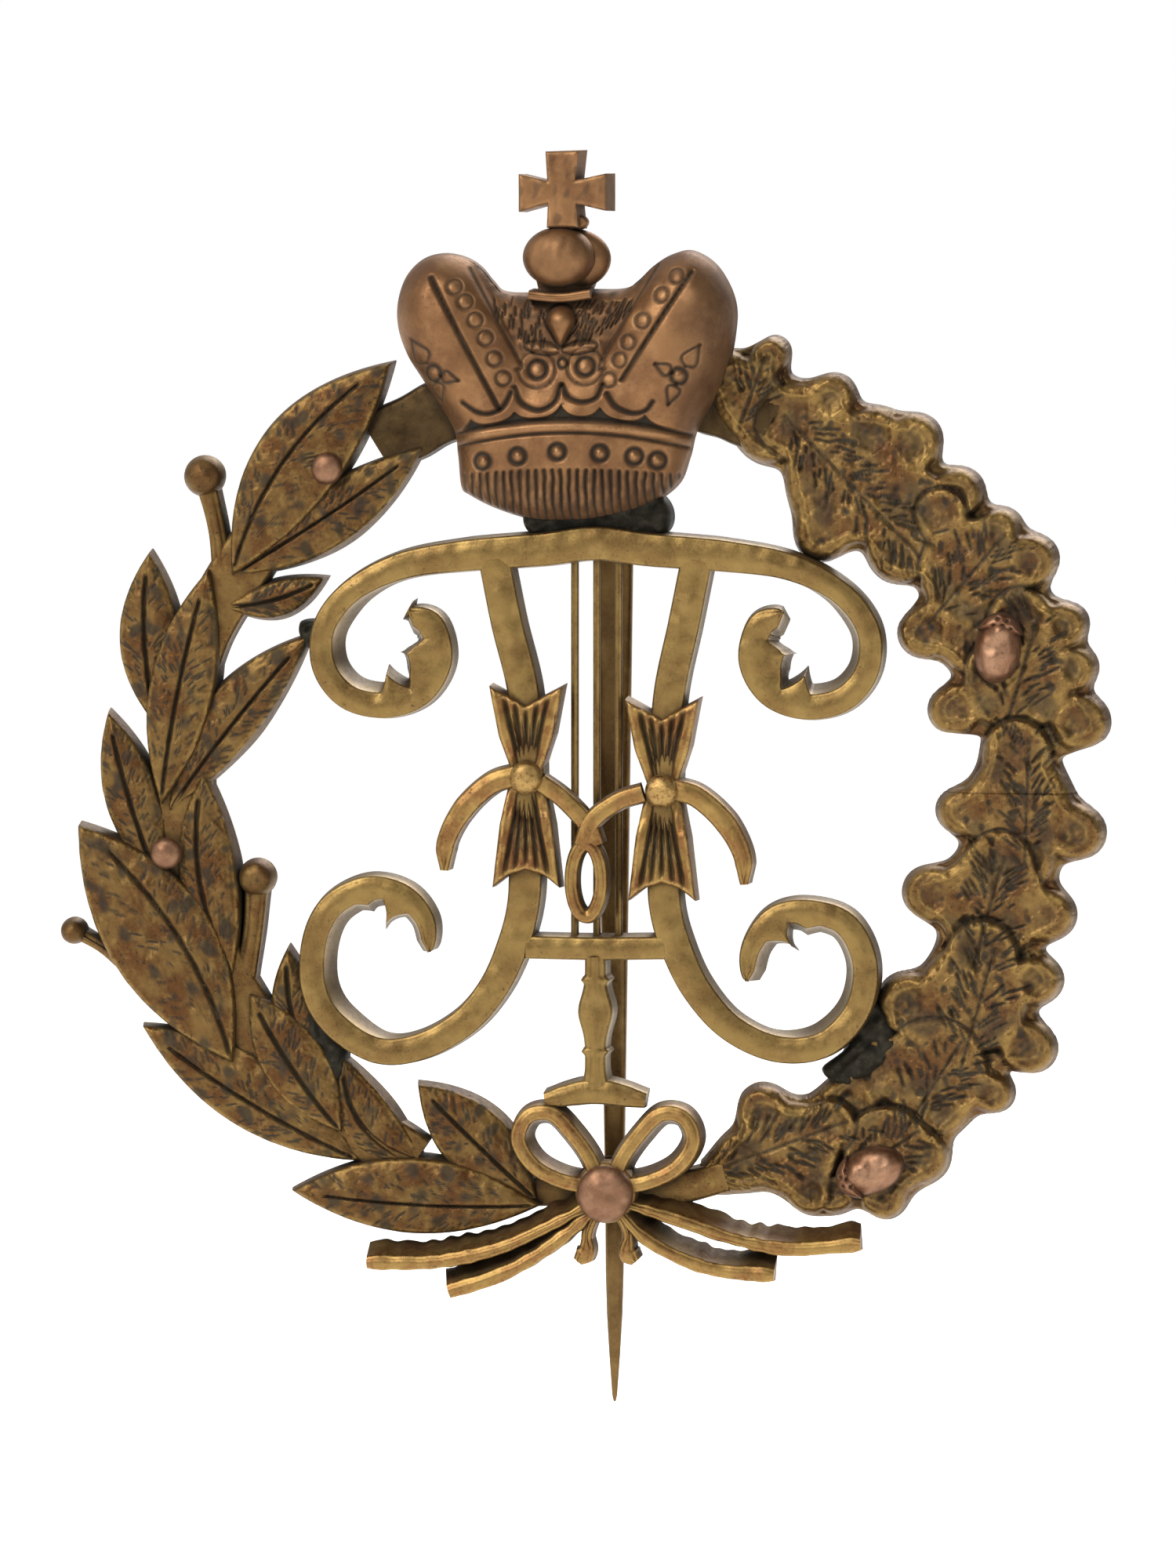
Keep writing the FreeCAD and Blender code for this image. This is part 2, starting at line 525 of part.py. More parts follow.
def needle_catch():
    """The catch: a round plate under the tie rivet with two jaws that the needle lies between."""
    plate = disc(RIVET_X, RIVET_Z, EYE_RADIUS, CATCH_PLATE_FRONT, CATCH_PLATE_BACK)
    plate = plate.cut(disc(RIVET_X, RIVET_Z, TIE_SHANK, CATCH_PLATE_FRONT - 1, CATCH_PLATE_BACK + 1))
    pieces = [plate]
    for side in (-1, 1):
        inner = RIVET_X + side * (SHAFT_RADIUS + CATCH_GAP)
        low = min(inner, inner + side * JAW_WIDTH)
        jaw = block((low, CATCH_PLATE_BACK, RIVET_Z - 0.7), (low + JAW_WIDTH, JAW_BACK, RIVET_Z + 0.7))
        pieces.append(jaw)
    return joined(pieces)


# ---------------------------------------------------------------- solder

SOLDER_BACK = -0.4
SOLDER_FRONT = -1.9
SOLDER_PADS = {
    "solder_left": [(-13.6, -8.9), (-12.7, -10.6), (-11.7, -12.2), (-12.1, -13.9), (-13.4, -13.6)],
    "solder_right": [(13.2, -9.8), (12.3, -12.0), (11.0, -13.2), (12.4, -13.9), (14.6, -12.0)],
    "solder_upper": [(-13.9, 7.9), (-12.8, 7.9), (-12.8, 6.8), (-13.7, 6.9)],
    "solder_crown": [(-2.6, 12.1), (-2.4, 14.2), (3.0, 14.2), (3.2, 12.1)],
}


def solder(name):
    """A lump of solder, wide enough to reach into its neighbours, which it is cut back to."""
    front = CROWN_BACK - 1.0 if name == "solder_crown" else SOLDER_FRONT
    return slab(polygon(SOLDER_PADS[name]), front, PLATE_BACK if name == "solder_crown" else SOLDER_BACK)


# ---------------------------------------------------------------- assembly


def assemble():
    """Every piece by node name, each one cut back to the pieces that it is fitted to."""
    made = {}
    made["bridge_bar"] = bridge_bar()
    made["crown_body"] = crown_body()
    made["crown_orb"] = fitted(ellipsoid(ORB_CENTRE, ORB_SIZES), made["crown_body"])
    made["crown_cross"] = fitted(crown_cross(), made["crown_orb"])
    made["tie_rivet"] = tie_rivet()
    made["needle_catch"] = needle_catch()
    made["ribbon_tie"] = ribbon_tie()
    for name, place in LAUREL_RIVETS.items():
        made[name] = laurel_rivet(*place)
    made["laurel_branch"] = fitted(laurel_branch(), *(made[name] for name in LAUREL_RIVETS),
                                   made["bridge_bar"], made["crown_body"], made["ribbon_tie"],
                                   made["tie_rivet"])
    for name, (place, lean) in ACORNS.items():
        made[name + "_nut"], made[name + "_cup"] = acorn(place, lean)
    nuts_and_cups = [made[name + end] for name in ACORNS for end in ("_nut", "_cup")]
    made["oak_branch"] = fitted(oak_branch(), *nuts_and_cups, made["bridge_bar"], made["crown_body"],
                                made["ribbon_tie"], made["tie_rivet"], made["needle_catch"])
    lyre(made)
    made["needle"] = needle()
    made["hinge_axle"] = hinge_axle()
    made["hinge_bracket"] = hinge_bracket()
    for name in SOLDER_PADS:
        neighbours = [shape for node, shape in made.items() if not node.startswith("solder")]
        made[name] = fitted(solder(name), *neighbours)
    return made


def lyre(made):
    """Adds the lyre's pieces, fitted to each other and to what they touch."""
    around = (made["laurel_branch"], made["oak_branch"], made["crown_body"])
    made["lyre_top_bar"] = fitted(lyre_top_bar(), *around)
    for side, word in ((-1, "left"), (1, "right")):
        made["bow_rivet_" + word] = bow_rivet(side)
        arm = fitted(lyre_arm(word), made["bow_rivet_" + word], made["lyre_top_bar"], *around)
        made["lyre_arm_" + word] = arm
        made["ribbon_bow_" + word] = fitted(ribbon_bow(side), arm, made["bow_rivet_" + word])
    arms = (made["lyre_arm_left"], made["lyre_arm_right"])
    bows = (made["ribbon_bow_left"], made["ribbon_bow_right"])
    low, high = CROSS_BAR_Z
    bar = slab(polygon([(-3.2, low), (-3.2, high), (3.8, high), (3.8, low)]), PLATE_FRONT, PLATE_BACK)
    made["ribbon_loop"] = fitted(ribbon_loop(), *arms, *bows, made["bow_rivet_left"], made["bow_rivet_right"])
    made["lyre_cross_bar"] = fitted(bar, *arms, made["ribbon_loop"])
    wires = [fitted(wire, made["lyre_top_bar"], made["ribbon_loop"]) for wire in lyre_strings()]
    made["lyre_strings"] = Part.makeCompound(wires)
    made["lyre_post"] = fitted(lyre_post(), made["lyre_cross_bar"], made["ribbon_tie"])


def main():
    """Builds every piece, says how sound it is and writes it."""
    os.makedirs("parts", exist_ok=True)
    for name, shape in assemble().items():
        print(f"{name:22s} solids {len(shape.Solids)} valid {shape.isValid()} volume {shape.Volume:8.2f}")
        shape.exportStep(f"parts/{name}.step")


main()
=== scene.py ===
"""A wreath cap badge in aged brass: laurel and oak branches, crown, lyre, ribbon tie and needle.

Shapes are worked out in millimetres as seen from the front, x to the right and z up, with a height
that is measured from the cap towards the viewer, and are written out in metres.
"""

import logging
import math
from collections.abc import Callable, Sequence
from dataclasses import dataclass, field
from enum import Enum

import bpy
import numpy as np
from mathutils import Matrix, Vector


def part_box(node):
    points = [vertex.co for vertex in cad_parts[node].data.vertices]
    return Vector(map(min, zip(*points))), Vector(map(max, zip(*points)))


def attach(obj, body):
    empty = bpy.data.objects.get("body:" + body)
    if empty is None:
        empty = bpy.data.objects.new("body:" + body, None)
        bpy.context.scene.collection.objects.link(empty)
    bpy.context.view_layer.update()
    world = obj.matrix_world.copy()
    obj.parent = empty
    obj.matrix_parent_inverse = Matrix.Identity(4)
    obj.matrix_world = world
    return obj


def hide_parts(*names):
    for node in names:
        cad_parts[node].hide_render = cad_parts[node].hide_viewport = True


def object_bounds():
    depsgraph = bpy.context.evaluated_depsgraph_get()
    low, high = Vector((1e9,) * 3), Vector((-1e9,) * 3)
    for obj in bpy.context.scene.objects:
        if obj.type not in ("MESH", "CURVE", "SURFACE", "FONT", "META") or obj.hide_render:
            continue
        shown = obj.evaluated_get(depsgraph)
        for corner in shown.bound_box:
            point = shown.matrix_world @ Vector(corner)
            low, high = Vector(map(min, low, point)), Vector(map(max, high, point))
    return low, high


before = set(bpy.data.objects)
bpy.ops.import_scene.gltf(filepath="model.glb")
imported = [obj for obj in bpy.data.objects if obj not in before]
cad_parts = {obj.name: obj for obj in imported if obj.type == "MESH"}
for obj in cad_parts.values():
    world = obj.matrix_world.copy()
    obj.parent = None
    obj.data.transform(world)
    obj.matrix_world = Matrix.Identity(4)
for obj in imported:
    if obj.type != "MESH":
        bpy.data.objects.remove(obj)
CAD_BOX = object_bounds()

log = logging.getLogger("cap_badge")
MM = 0.001
BADGE = "badge"
NEEDLE = "needle"
SHARP_ANGLE = math.radians(48)
Point = tuple[float, float]


# ---------------------------------------------------------------- curves and outlines


def evenly(points: np.ndarray, count: int, closed: bool = False) -> np.ndarray:
    """Places points at equal distances along a polyline.

    Args:
        points: The polyline, one point a row.
        count: How many points to return.
        closed: Whether the last point joins the first again.

    Returns:
        The points, linearly between the given ones at equal steps of arc length.
    """
    line = np.vstack([points, points[:1]]) if closed else points
    steps = np.linalg.norm(np.diff(line, axis=0), axis=1)
    travelled = np.concatenate([[0.0], np.cumsum(steps)])
    wanted = np.linspace(0.0, travelled[-1], count, endpoint=not closed)
    return np.stack([np.interp(wanted, travelled, line[:, axis]) for axis in range(line.shape[1])], axis=1)


def smooth(points: Sequence[Sequence[float]], count: int, closed: bool = False) -> np.ndarray:
    """Draws a smooth curve through a few points.

    Each span is a cubic whose slope at a point is half the step between that point's neighbours.

    Args:
        points: The points that the curve passes through.
        count: How many points to return.
        closed: Whether the curve closes.

    Returns:
        The curve's points at equal distances.
    """
    given = np.asarray(points, float)
    if closed:
        padded = np.vstack([given[-1:], given, given[:2]])
    else:
        padded = np.vstack([2 * given[0] - given[1], given, 2 * given[-1] - given[-2]])
    share = np.linspace(0.0, 1.0, 24, endpoint=False)[None, :, None]
    before, start, end, after = (padded[i:len(padded) - 3 + i, None, :] for i in range(4))
    curve = start + 0.5 * share * (end - before + share * (
        2 * before - 5 * start + 4 * end - after + share * (3 * (start - end) + after - before)))
    curve = curve.reshape(-1, given.shape[1])
    if not closed:
        curve = np.vstack([curve, given[-1:]])
    return evenly(curve, count, closed)


def leaf_outline(base: Point, tip: Point, left: float, right: float, count: int) -> np.ndarray:
    """A pointed leaf's outline: each side is an arch whose height is its bulge at mid-length.

    Args:
        base: Where the leaf grows.
        tip: Its point.
        left: How far the left side bulges from the straight line, looking from base to tip.
        right: The same for the right side.
        count: How many points to return.

    Returns:
        The closed outline.
    """
    start, end = np.array(base), np.array(tip)
    along = end - start
    across = np.array([-along[1], along[0]]) / np.linalg.norm(along)
    share = np.linspace(0.0, 1.0, 60)[:, None]
    arch = 1.0 - (2.0 * share - 1.0) ** 2
    up = start + along * share + across * left * arch
    down = start + along * share - across * right * arch
    return evenly(np.vstack([up, down[::-1][1:-1]]), count, closed=True)


def lobe_field(x: np.ndarray, z: np.ndarray, lobes: np.ndarray, blend: float) -> np.ndarray:
    """How far inside a soft union of round lobes each place lies, in millimetres.

    It is the largest of radius minus distance over the lobes, with the largest taken softly:
    blend times the logarithm of the sum of exponentials, less a little for what that adds.

    Args:
        x: Places to the right.
        z: Places up.
        lobes: One lobe a row, as x, z and radius.
        blend: How softly the lobes run together.

    Returns:
        The depth inside, negative outside.
    """
    depth = lobes[:, 2] - np.hypot(x[..., None] - lobes[:, 0], z[..., None] - lobes[:, 1])
    peak = depth.max(axis=-1)
    return peak + blend * np.log(np.exp((depth - peak[..., None]) / blend).sum(axis=-1)) - 0.3 * blend


def reach(origins: np.ndarray, ways: np.ndarray, lobes: np.ndarray, blend: float,
          farthest: float) -> np.ndarray:
    """How far a soft union of lobes goes from each origin, with notches that turn back filled.

    The way is walked in small equal steps to the last place inside, and the distances are then
    averaged over a few neighbours with a bell curve, as a cast edge is.

    Args:
        origins: Where each way starts, one a row, inside the union.
        ways: The unit directions.
        lobes: One lobe a row, as x, z and radius.
        blend: How softly the lobes run together.
        farthest: A distance that is surely outside.

    Returns:
        The distances.
    """
    walked = np.linspace(0.0, farthest, 280)
    walk = origins[None] + ways[None] * walked[:, None, None]
    inside = lobe_field(walk[..., 0], walk[..., 1], lobes, blend) > 0
    last = np.where(inside, walked[:, None], 0.0).max(axis=0)
    bell = np.exp(-(np.arange(-9, 10) / 3.4) ** 2)
    return np.convolve(np.pad(last, 9, mode="edge"), bell / bell.sum(), mode="valid")


def oval(centre: Point, long_half: float, short_half: float, lean: float, count: int = 120) -> np.ndarray:
    """An ellipse whose long side leans by so many degrees from the x axis."""
    bearing = np.linspace(0.0, 2 * math.pi, count, endpoint=False)
    return placed(np.stack([long_half * np.cos(bearing), short_half * np.sin(bearing)], axis=1), centre, lean)


def placed(points: np.ndarray, centre: Point, lean: float) -> np.ndarray:
    """Turns points by so many degrees and moves them to a centre."""
    cosine, sine = math.cos(math.radians(lean)), math.sin(math.radians(lean))
    return np.asarray(points, float) @ np.array([[cosine, sine], [-sine, cosine]]) + np.array(centre)


def unevenness(x: np.ndarray, z: np.ndarray, grain: float, seed: int) -> np.ndarray:
    """A smooth random surface between about minus one and one: the sum of many tilted waves.

    Args:
        x: Places to the right, in millimetres.
        z: Places up.
        grain: The length of the waves, in millimetres.
        seed: Which random surface.

    Returns:
        The surface's value at each place.
    """
    draw = np.random.default_rng(seed)
    waves = 14
    bearing = draw.uniform(0, 2 * math.pi, waves)
    rate = 2 * math.pi / (grain * draw.uniform(0.6, 1.7, waves))
    start = draw.uniform(0, 2 * math.pi, waves)
    phase = (x[..., None] * np.cos(bearing) + z[..., None] * np.sin(bearing)) * rate + start
    return np.sin(phase).sum(axis=-1) / math.sqrt(waves)


def step(value: np.ndarray, low: float, high: float) -> np.ndarray:
    """Eases from 0 at low to 1 at high, flat at both ends."""
    share = np.clip((value - low) / (high - low), 0.0, 1.0)
    return share * share * (3.0 - 2.0 * share)


def arch(value: np.ndarray) -> np.ndarray:
    """A quarter circle's height: 0 where value is 0, and 1 from where it is 1."""
    return np.sqrt(np.clip(1.0 - (1.0 - np.clip(value, 0.0, 1.0)) ** 2, 0.0, 1.0))


# ---------------------------------------------------------------- shells


@dataclass
class Shell:
    """One closed shell, in millimetres, with two marks that its metal reads.

    Attributes:
        points: One point a row.
        quads: Corner numbers of the four-sided faces.
        fans: Corner numbers of the three-sided faces that close the ends.
        patina_and_shade: How dark each point has gone, from 0 to 1, from patina and from painted shade.
        wear: How bright each point is rubbed, from 0 to 1.
    """

    points: np.ndarray
    quads: np.ndarray
    fans: np.ndarray
    patina_and_shade: np.ndarray
    wear: np.ndarray

    def outward(self) -> "Shell":
        """Turns the faces outwards: the signed volume under them has to be positive.

        Returns:
            The shell, with its faces turned outwards.
        """
        corners = self.points[np.vstack([self.quads[:, :3], self.quads[:, [0, 2, 3]], self.fans])]
        volume = np.einsum("ij,ij->", corners[:, 0], np.cross(corners[:, 1], corners[:, 2]))
        if volume < 0:
            self.quads = self.quads[:, ::-1]
            self.fans = self.fans[:, ::-1]
        return self


def loft(rings: np.ndarray, patina_and_shade: np.ndarray | float = 0.0, wear: np.ndarray | float = 0.0,
         loop: bool = False) -> Shell:
    """Skins a row of closed rings, and closes each end with a fan to the end ring's middle.

    Args:
        rings: The rings' points, ring by ring, the same number on each.
        patina_and_shade: Darkness from patina and painted shade, for every point or the same all over.
        wear: Brightness, for every point or the same all over.
        loop: Whether the last ring joins the first, so that no end is left to close.

    Returns:
        The closed shell.
    """
    count, around, _ = rings.shape
    here = np.arange(count * around).reshape(count, around)
    beside = np.roll(here, -1, axis=1)
    dark = np.broadcast_to(patina_and_shade, (count, around)).reshape(-1)
    bright = np.broadcast_to(wear, (count, around)).reshape(-1)
    points = rings.reshape(-1, 3)
    if loop:
        corners = [here, beside, np.roll(beside, -1, axis=0), np.roll(here, -1, axis=0)]
        fans = np.empty((0, 3), int)
    else:
        corners = [here[:-1], beside[:-1], beside[1:], here[1:]]
        first = np.full(around, count * around)
        fans = np.vstack([np.stack([first, beside[0], here[0]], axis=1),
                          np.stack([first + 1, here[-1], beside[-1]], axis=1)])
        points = np.vstack([points, rings[[0, -1]].mean(axis=1)])
        dark = np.append(dark, [dark[0], dark[-1]])
        bright = np.append(bright, [bright[0], bright[-1]])
    quads = np.stack(corners, axis=-1).reshape(-1, 4)
    return Shell(points, quads, fans, dark, bright).outward()


@dataclass
class Relief:
    """The front of a cast or engraved shape while it is being worked.

    Attributes:
        x: Places to the right.
        z: Places up.
        inset: Distance from the outline.
        height: Height above the cap.
        patina_and_shade: Darkness so far, from patina and painted shade.
        wear: Brightness so far.
    """

    x: np.ndarray
    z: np.ndarray
    inset: np.ndarray
    height: np.ndarray
    patina_and_shade: np.ndarray
    wear: np.ndarray

    def groove(self, away: np.ndarray, width: float, depth: float, dark: float = 1.0) -> None:
        """Cuts a round-bottomed groove: depth times a bell curve of the distance from its line.

        Args:
            away: The distance from the groove's middle.
            width: Its half-width.
            depth: How deep it is cut.
            dark: How much dirt it holds.
        """
        bell = np.exp(-(away / width) ** 2)
        self.height -= depth * bell
        self.patina_and_shade = np.maximum(self.patina_and_shade, dark * bell)

    def bead(self, away: np.ndarray, width: float, rise: float, bright: float = 1.0) -> None:
        """Raises a ridge: a bell curve of the distance from its line.

        Args:
            away: The distance from the bead's middle.
            width: Its half-width.
            rise: How high it stands.
            bright: How brightly it is rubbed.
        """
        bell = np.exp(-(away / width) ** 2)
        self.height += rise * bell
        self.wear = np.maximum(self.wear, bright * bell)
        self.patina_and_shade *= 1.0 - 0.8 * bell * bright

    def strokes(self, starts: np.ndarray, ends: np.ndarray, width: float, depth: float,
                dark: float = 0.9) -> None:
        """Cuts many straight strokes that fade at both ends, each with a graver.

        Args:
            starts: Where each stroke begins, one a row.
            ends: Where each ends.
            width: The cut's width from its middle to where it fades.
            depth: How deep the deepest part is.
            dark: How dark the cut has gone.
        """
        cut = np.zeros_like(self.x)
        for start, end in zip(starts, ends):
            run = end - start
            length = float(np.linalg.norm(run))
            across, along = self.x - start[0], self.z - start[1]
            share = (across * run[0] + along * run[1]) / length ** 2
            aside = (across * run[1] - along * run[0]) / length
            fade = arch(4.0 * share) * arch(4.0 * (1.0 - share))
            cut = np.maximum(cut, np.exp(-(aside / width) ** 2) * fade)
        self.height -= depth * cut
        self.patina_and_shade = np.maximum(self.patina_and_shade, dark * cut)

    def ring(self, centre: Point, radius: float, width: float, depth: float, dot: float = 0.0,
             dark: float = 1.0) -> None:
        """Punches a ring, with a small dome of height dot left inside it.

        Args:
            centre: The middle.
            radius: The ring's radius.
            width: The groove's half-width.
            depth: How deep it is cut.
            dot: How high the dot in it stands.
            dark: How much dirt it holds.
        """
        away = np.hypot(self.x - centre[0], self.z - centre[1])
        self.groove(away - radius, width, depth, dark)
        if dot:
            self.bead(away, radius * 0.55, dot, 0.7)

    def line(self, points: Sequence[Point], width: float, depth: float, dark: float = 1.0) -> None:
        """Cuts a groove along a smooth line through a few points."""
        self.groove(distance_to(self.x, self.z, smooth(points, 60)), width, depth, dark)

    def ridge(self, points: Sequence[Point], width: float, rise: float, bright: float = 0.8) -> None:
        """Raises a bead along a smooth line through a few points."""
        self.bead(distance_to(self.x, self.z, smooth(points, 60)), width, rise, bright)


def distance_to(x: np.ndarray, z: np.ndarray, line: np.ndarray) -> np.ndarray:
    """The distance from each place to the nearest point of a finely divided line.

    Args:
        x: Places to the right.
        z: Places up.
        line: The line's points.

    Returns:
        The distances, in the shape of x.
    """
    places = np.stack([x.reshape(-1), z.reshape(-1)], axis=1).astype(np.float32)
    ends = line.astype(np.float32)
    parts = [((part ** 2).sum(1)[:, None] + (ends ** 2).sum(1) - 2.0 * part @ ends.T).min(axis=1)
             for part in np.array_split(places, 1 + len(places) // 8192)]
    return np.sqrt(np.clip(np.concatenate(parts), 0.0, None)).reshape(x.shape).astype(float)


def relief(outline: np.ndarray, top: Callable[[Relief], None], floor: float = 0.0, rings: int = 44,
           centre: Point | None = None, flare: float = 0.12, foot: float = 0.25,
           lean: Point = (0.0, 0.0)) -> Shell:
    """Raises a shape over an outline: a flat back, a wall all round and a worked front.

    The grid runs round the outline and in to the centre. The front's points lie at equal shares
    of the way from the outline to the centre, and top gives each its height.

    Args:
        outline: The closed outline, evenly divided.
        top: Sets the height and marks of the front's points.
        floor: The height of the back.
        rings: How many rings lie between the edge and the centre.
        centre: What the rings shrink to, or the outline's middle.
        flare: How much wider the wall is at the back, in millimetres.
        foot: The wall's height where top leaves the edge lower than that.
        lean: How far the back lies to the side of the front.

    Returns:
        The closed shell.
    """
    middle = np.array(outline.mean(axis=0) if centre is None else centre)
    spokes = outline - middle
    share = (1.0 - np.linspace(0.0, 0.985, rings) ** 1.1)[:, None, None]
    places = middle + spokes * share
    x, z = places[..., 0], places[..., 1]
    inset = distance_to(x, z, outline)
    inset[0] = 0.0
    zero = np.zeros_like(x)
    front = Relief(x, z, inset, zero.copy(), zero.copy(), zero.copy())
    top(front)
    edge = np.maximum(front.height[0], floor + foot)
    front.height[0] = edge
    outwards = spokes / np.linalg.norm(spokes, axis=1, keepdims=True)
    down = np.linspace(0.0, 1.0, 5)[:, None]
    wall = outline[None] + (outwards[None] * flare + np.array(lean)) * down[..., None]
    wall_height = floor + (edge - floor)[None] * (1.0 - down)
    root = middle + np.array(lean)
    back = root + (wall[-1] - root) * np.linspace(0.97, 0.02, 9)[:, None, None]
    back_height = floor + 0.03 * unevenness(back[..., 0], back[..., 1], 1.4, rings)
    plan = np.concatenate([back[::-1], wall[::-1], places[1:]])
    height = np.concatenate([back_height[::-1], wall_height[::-1], front.height[1:]])
    dark = np.concatenate([np.full_like(back_height, 0.25), np.full_like(wall_height, 0.3), front.patina_and_shade[1:]])
    bright = np.concatenate([np.zeros_like(back_height), np.zeros_like(wall_height), front.wear[1:]])
    return loft(np.stack([plan[..., 0], -height, plan[..., 1]], axis=-1), dark, bright)


def band(path: np.ndarray, left: np.ndarray | float, right: np.ndarray | float, front: np.ndarray | float,
         back: np.ndarray | float, bevel: float = 0.14,
         flare: tuple[np.ndarray | float, np.ndarray | float] = (0.08, 0.08),
         crown: float = 0.05, loop: bool = False, gloss: float = 0.45) -> Shell:
    """Carries a flat band's section along a path in the badge's plane.

    The section is a front face that is arched by crown, two rounded bevels, two walls that flare
    towards the back, and a flat back.

    Args:
        path: The path's points.
        left: The half-width to the left of the way along, for every point or the same all along.
        right: The half-width to the right.
        front: The height of the front face's edge.
        back: The height of the back.
        bevel: How much of each edge the bevel takes.
        flare: How much wider the left and right walls are at the back.
        crown: How much the front face is arched.
        loop: Whether the path closes on itself.
        gloss: How brightly the edges are rubbed.

    Returns:
        The closed shell.
    """
    count = len(path)
    if loop:
        heading = np.roll(path, -1, axis=0) - np.roll(path, 1, axis=0)
    else:
        heading = np.gradient(path, axis=0)
    heading /= np.linalg.norm(heading, axis=1, keepdims=True)
    normal = np.stack([-heading[:, 1], heading[:, 0]], axis=1)
    turn = np.linspace(0.0, math.pi / 2, 5)
    flat = np.linspace(-1.0, 1.0, 11)[1:-1]
    aside = np.concatenate([flat, 1 + np.zeros(5), np.ones(3), np.linspace(1, -1, 6)[1:-1], -np.ones(3),
                            -np.ones(5)])
    cut = np.concatenate([np.zeros(9) + 1, 1 - np.sin(turn), np.zeros(3), np.zeros(4), np.zeros(3),
                          1 - np.cos(turn)])
    rise = np.concatenate([np.ones(9), np.cos(turn), np.array([0.6, 0.3, 0.0]) - 1, np.full(4, -1.0),
                           np.array([0.0, 0.3, 0.6]) - 1, np.sin(turn)])
    sides = [np.broadcast_to(side, count)[:, None] for side in (left, right, front, back, *flare)]
    half = np.where(aside > 0, sides[0], sides[1])
    face = np.where(cut < 1, half - bevel * cut, half - bevel)
    spread = np.where(rise < 0, np.abs(rise), 0.0) * np.where(aside > 0, sides[4], sides[5])
    across = np.where(np.abs(aside) < 1, aside * np.where(rise > 0, face, face + spread + bevel),
                      aside * (face + spread))
    depth = sides[2] - sides[3] - bevel
    height = np.where(rise >= 0, sides[2] - bevel * (1 - rise), sides[2] - bevel + rise * depth)
    height = height + np.where((np.abs(aside) < 1) & (rise > 0), crown * (1 - aside ** 2), 0.0)
    plan = path[:, None, :] + normal[:, None, :] * across[..., None]
    dark = np.where(rise < 0, 0.25 - 0.3 * rise, 0.0) + np.zeros_like(across)
    height = height + np.where(rise > 0, 0.018 * unevenness(plan[..., 0], plan[..., 1], 1.2, count), 0.0)
    bright = np.where((np.abs(aside) == 1) & (rise < 1), gloss,
                      0.4 * gloss) * (rise >= 0) + np.zeros_like(across)
    return loft(np.stack([plan[..., 0], -height, plan[..., 1]], axis=-1), dark, bright, loop)


def turned(profile: Sequence[Point], centre: Point, around: int = 64, squash: float = 1.0, lean: float = 0.0,
           uneven: float = 0.0, gloss: float = 0.15) -> Shell:
    """Turns a profile about a line from the cap towards the viewer.

    Args:
        profile: Radius and height, from the back to the front.
        centre: Where the line stands.
        around: How many points lie round each ring.
        squash: The ring's length over its width.
        lean: The direction of that length, in degrees.
        uneven: How far hand work leaves it out of round, in millimetres.
        gloss: How brightly it is rubbed.

    Returns:
        The closed shell.
    """
    line = smooth(profile, 5 * len(profile))
    bearing = np.linspace(0.0, 2 * math.pi, around, endpoint=False)
    far, near = line[:, :1] * np.cos(bearing) * squash, line[:, :1] * np.sin(bearing)
    turn = math.radians(lean)
    x = centre[0] + far * math.cos(turn) - near * math.sin(turn)
    z = centre[1] + far * math.sin(turn) + near * math.cos(turn)
    height = line[:, 1:] + uneven * unevenness(x, z, 0.9, around)
    return loft(np.stack([x, -height, z], axis=-1), 0.1, gloss)


def mesh_piece(name: str, shells: Sequence[Shell], material: bpy.types.Material) -> bpy.types.Object:
    """Writes shells into one object at the origin.

    Args:
        name: The piece's name.
        shells: Its closed shells.
        material: Its metal.

    Returns:
        The object, smooth except across sharp edges.
    """
    offsets = np.cumsum([0] + [len(shell.points) for shell in shells[:-1]])
    points = np.vstack([shell.points for shell in shells]) * MM
    quads = np.vstack([shell.quads + offset for shell, offset in zip(shells, offsets)])
    fans = np.vstack([shell.fans + offset for shell, offset in zip(shells, offsets)])
    starts = np.concatenate([np.arange(len(quads)) * 4, len(quads) * 4 + np.arange(len(fans)) * 3])
    mesh = bpy.data.meshes.new(name)
    mesh.vertices.add(len(points))
    mesh.vertices.foreach_set("co", points.astype(np.float32).ravel())
    mesh.loops.add(quads.size + fans.size)
    mesh.loops.foreach_set("vertex_index", np.concatenate([quads.ravel(), fans.ravel()]).astype(np.int32))
    mesh.polygons.add(len(starts))
    mesh.polygons.foreach_set("loop_start", starts.astype(np.int32))
    mesh.update(calc_edges=True)
    mesh.validate()
    for mark in ("patina_and_shade", "wear"):
        values = np.concatenate([getattr(shell, mark) for shell in shells]).clip(0, 1)
        mesh.attributes.new(mark, "FLOAT", "POINT").data.foreach_set("value", values.astype(np.float32))
    mesh.shade_smooth()
    mesh.set_sharp_from_angle(angle=SHARP_ANGLE)
    mesh.materials.append(material)
    piece = bpy.data.objects.new(name, mesh)
    bpy.context.collection.objects.link(piece)
    return piece


def fit(piece: bpy.types.Object, body: str, slot: str, *nodes: str) -> None:
    """Fixes a piece to its body and lets it stand for CAD nodes.

    Args:
        piece: The piece.
        body: The body that it rides.
        slot: The material slot that it would fill; not used.
        *nodes: The nodes that it replaces.
    """
    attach(piece, body)
    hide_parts(*nodes)
    log.info("%s: %d faces", piece.name, len(piece.data.polygons))


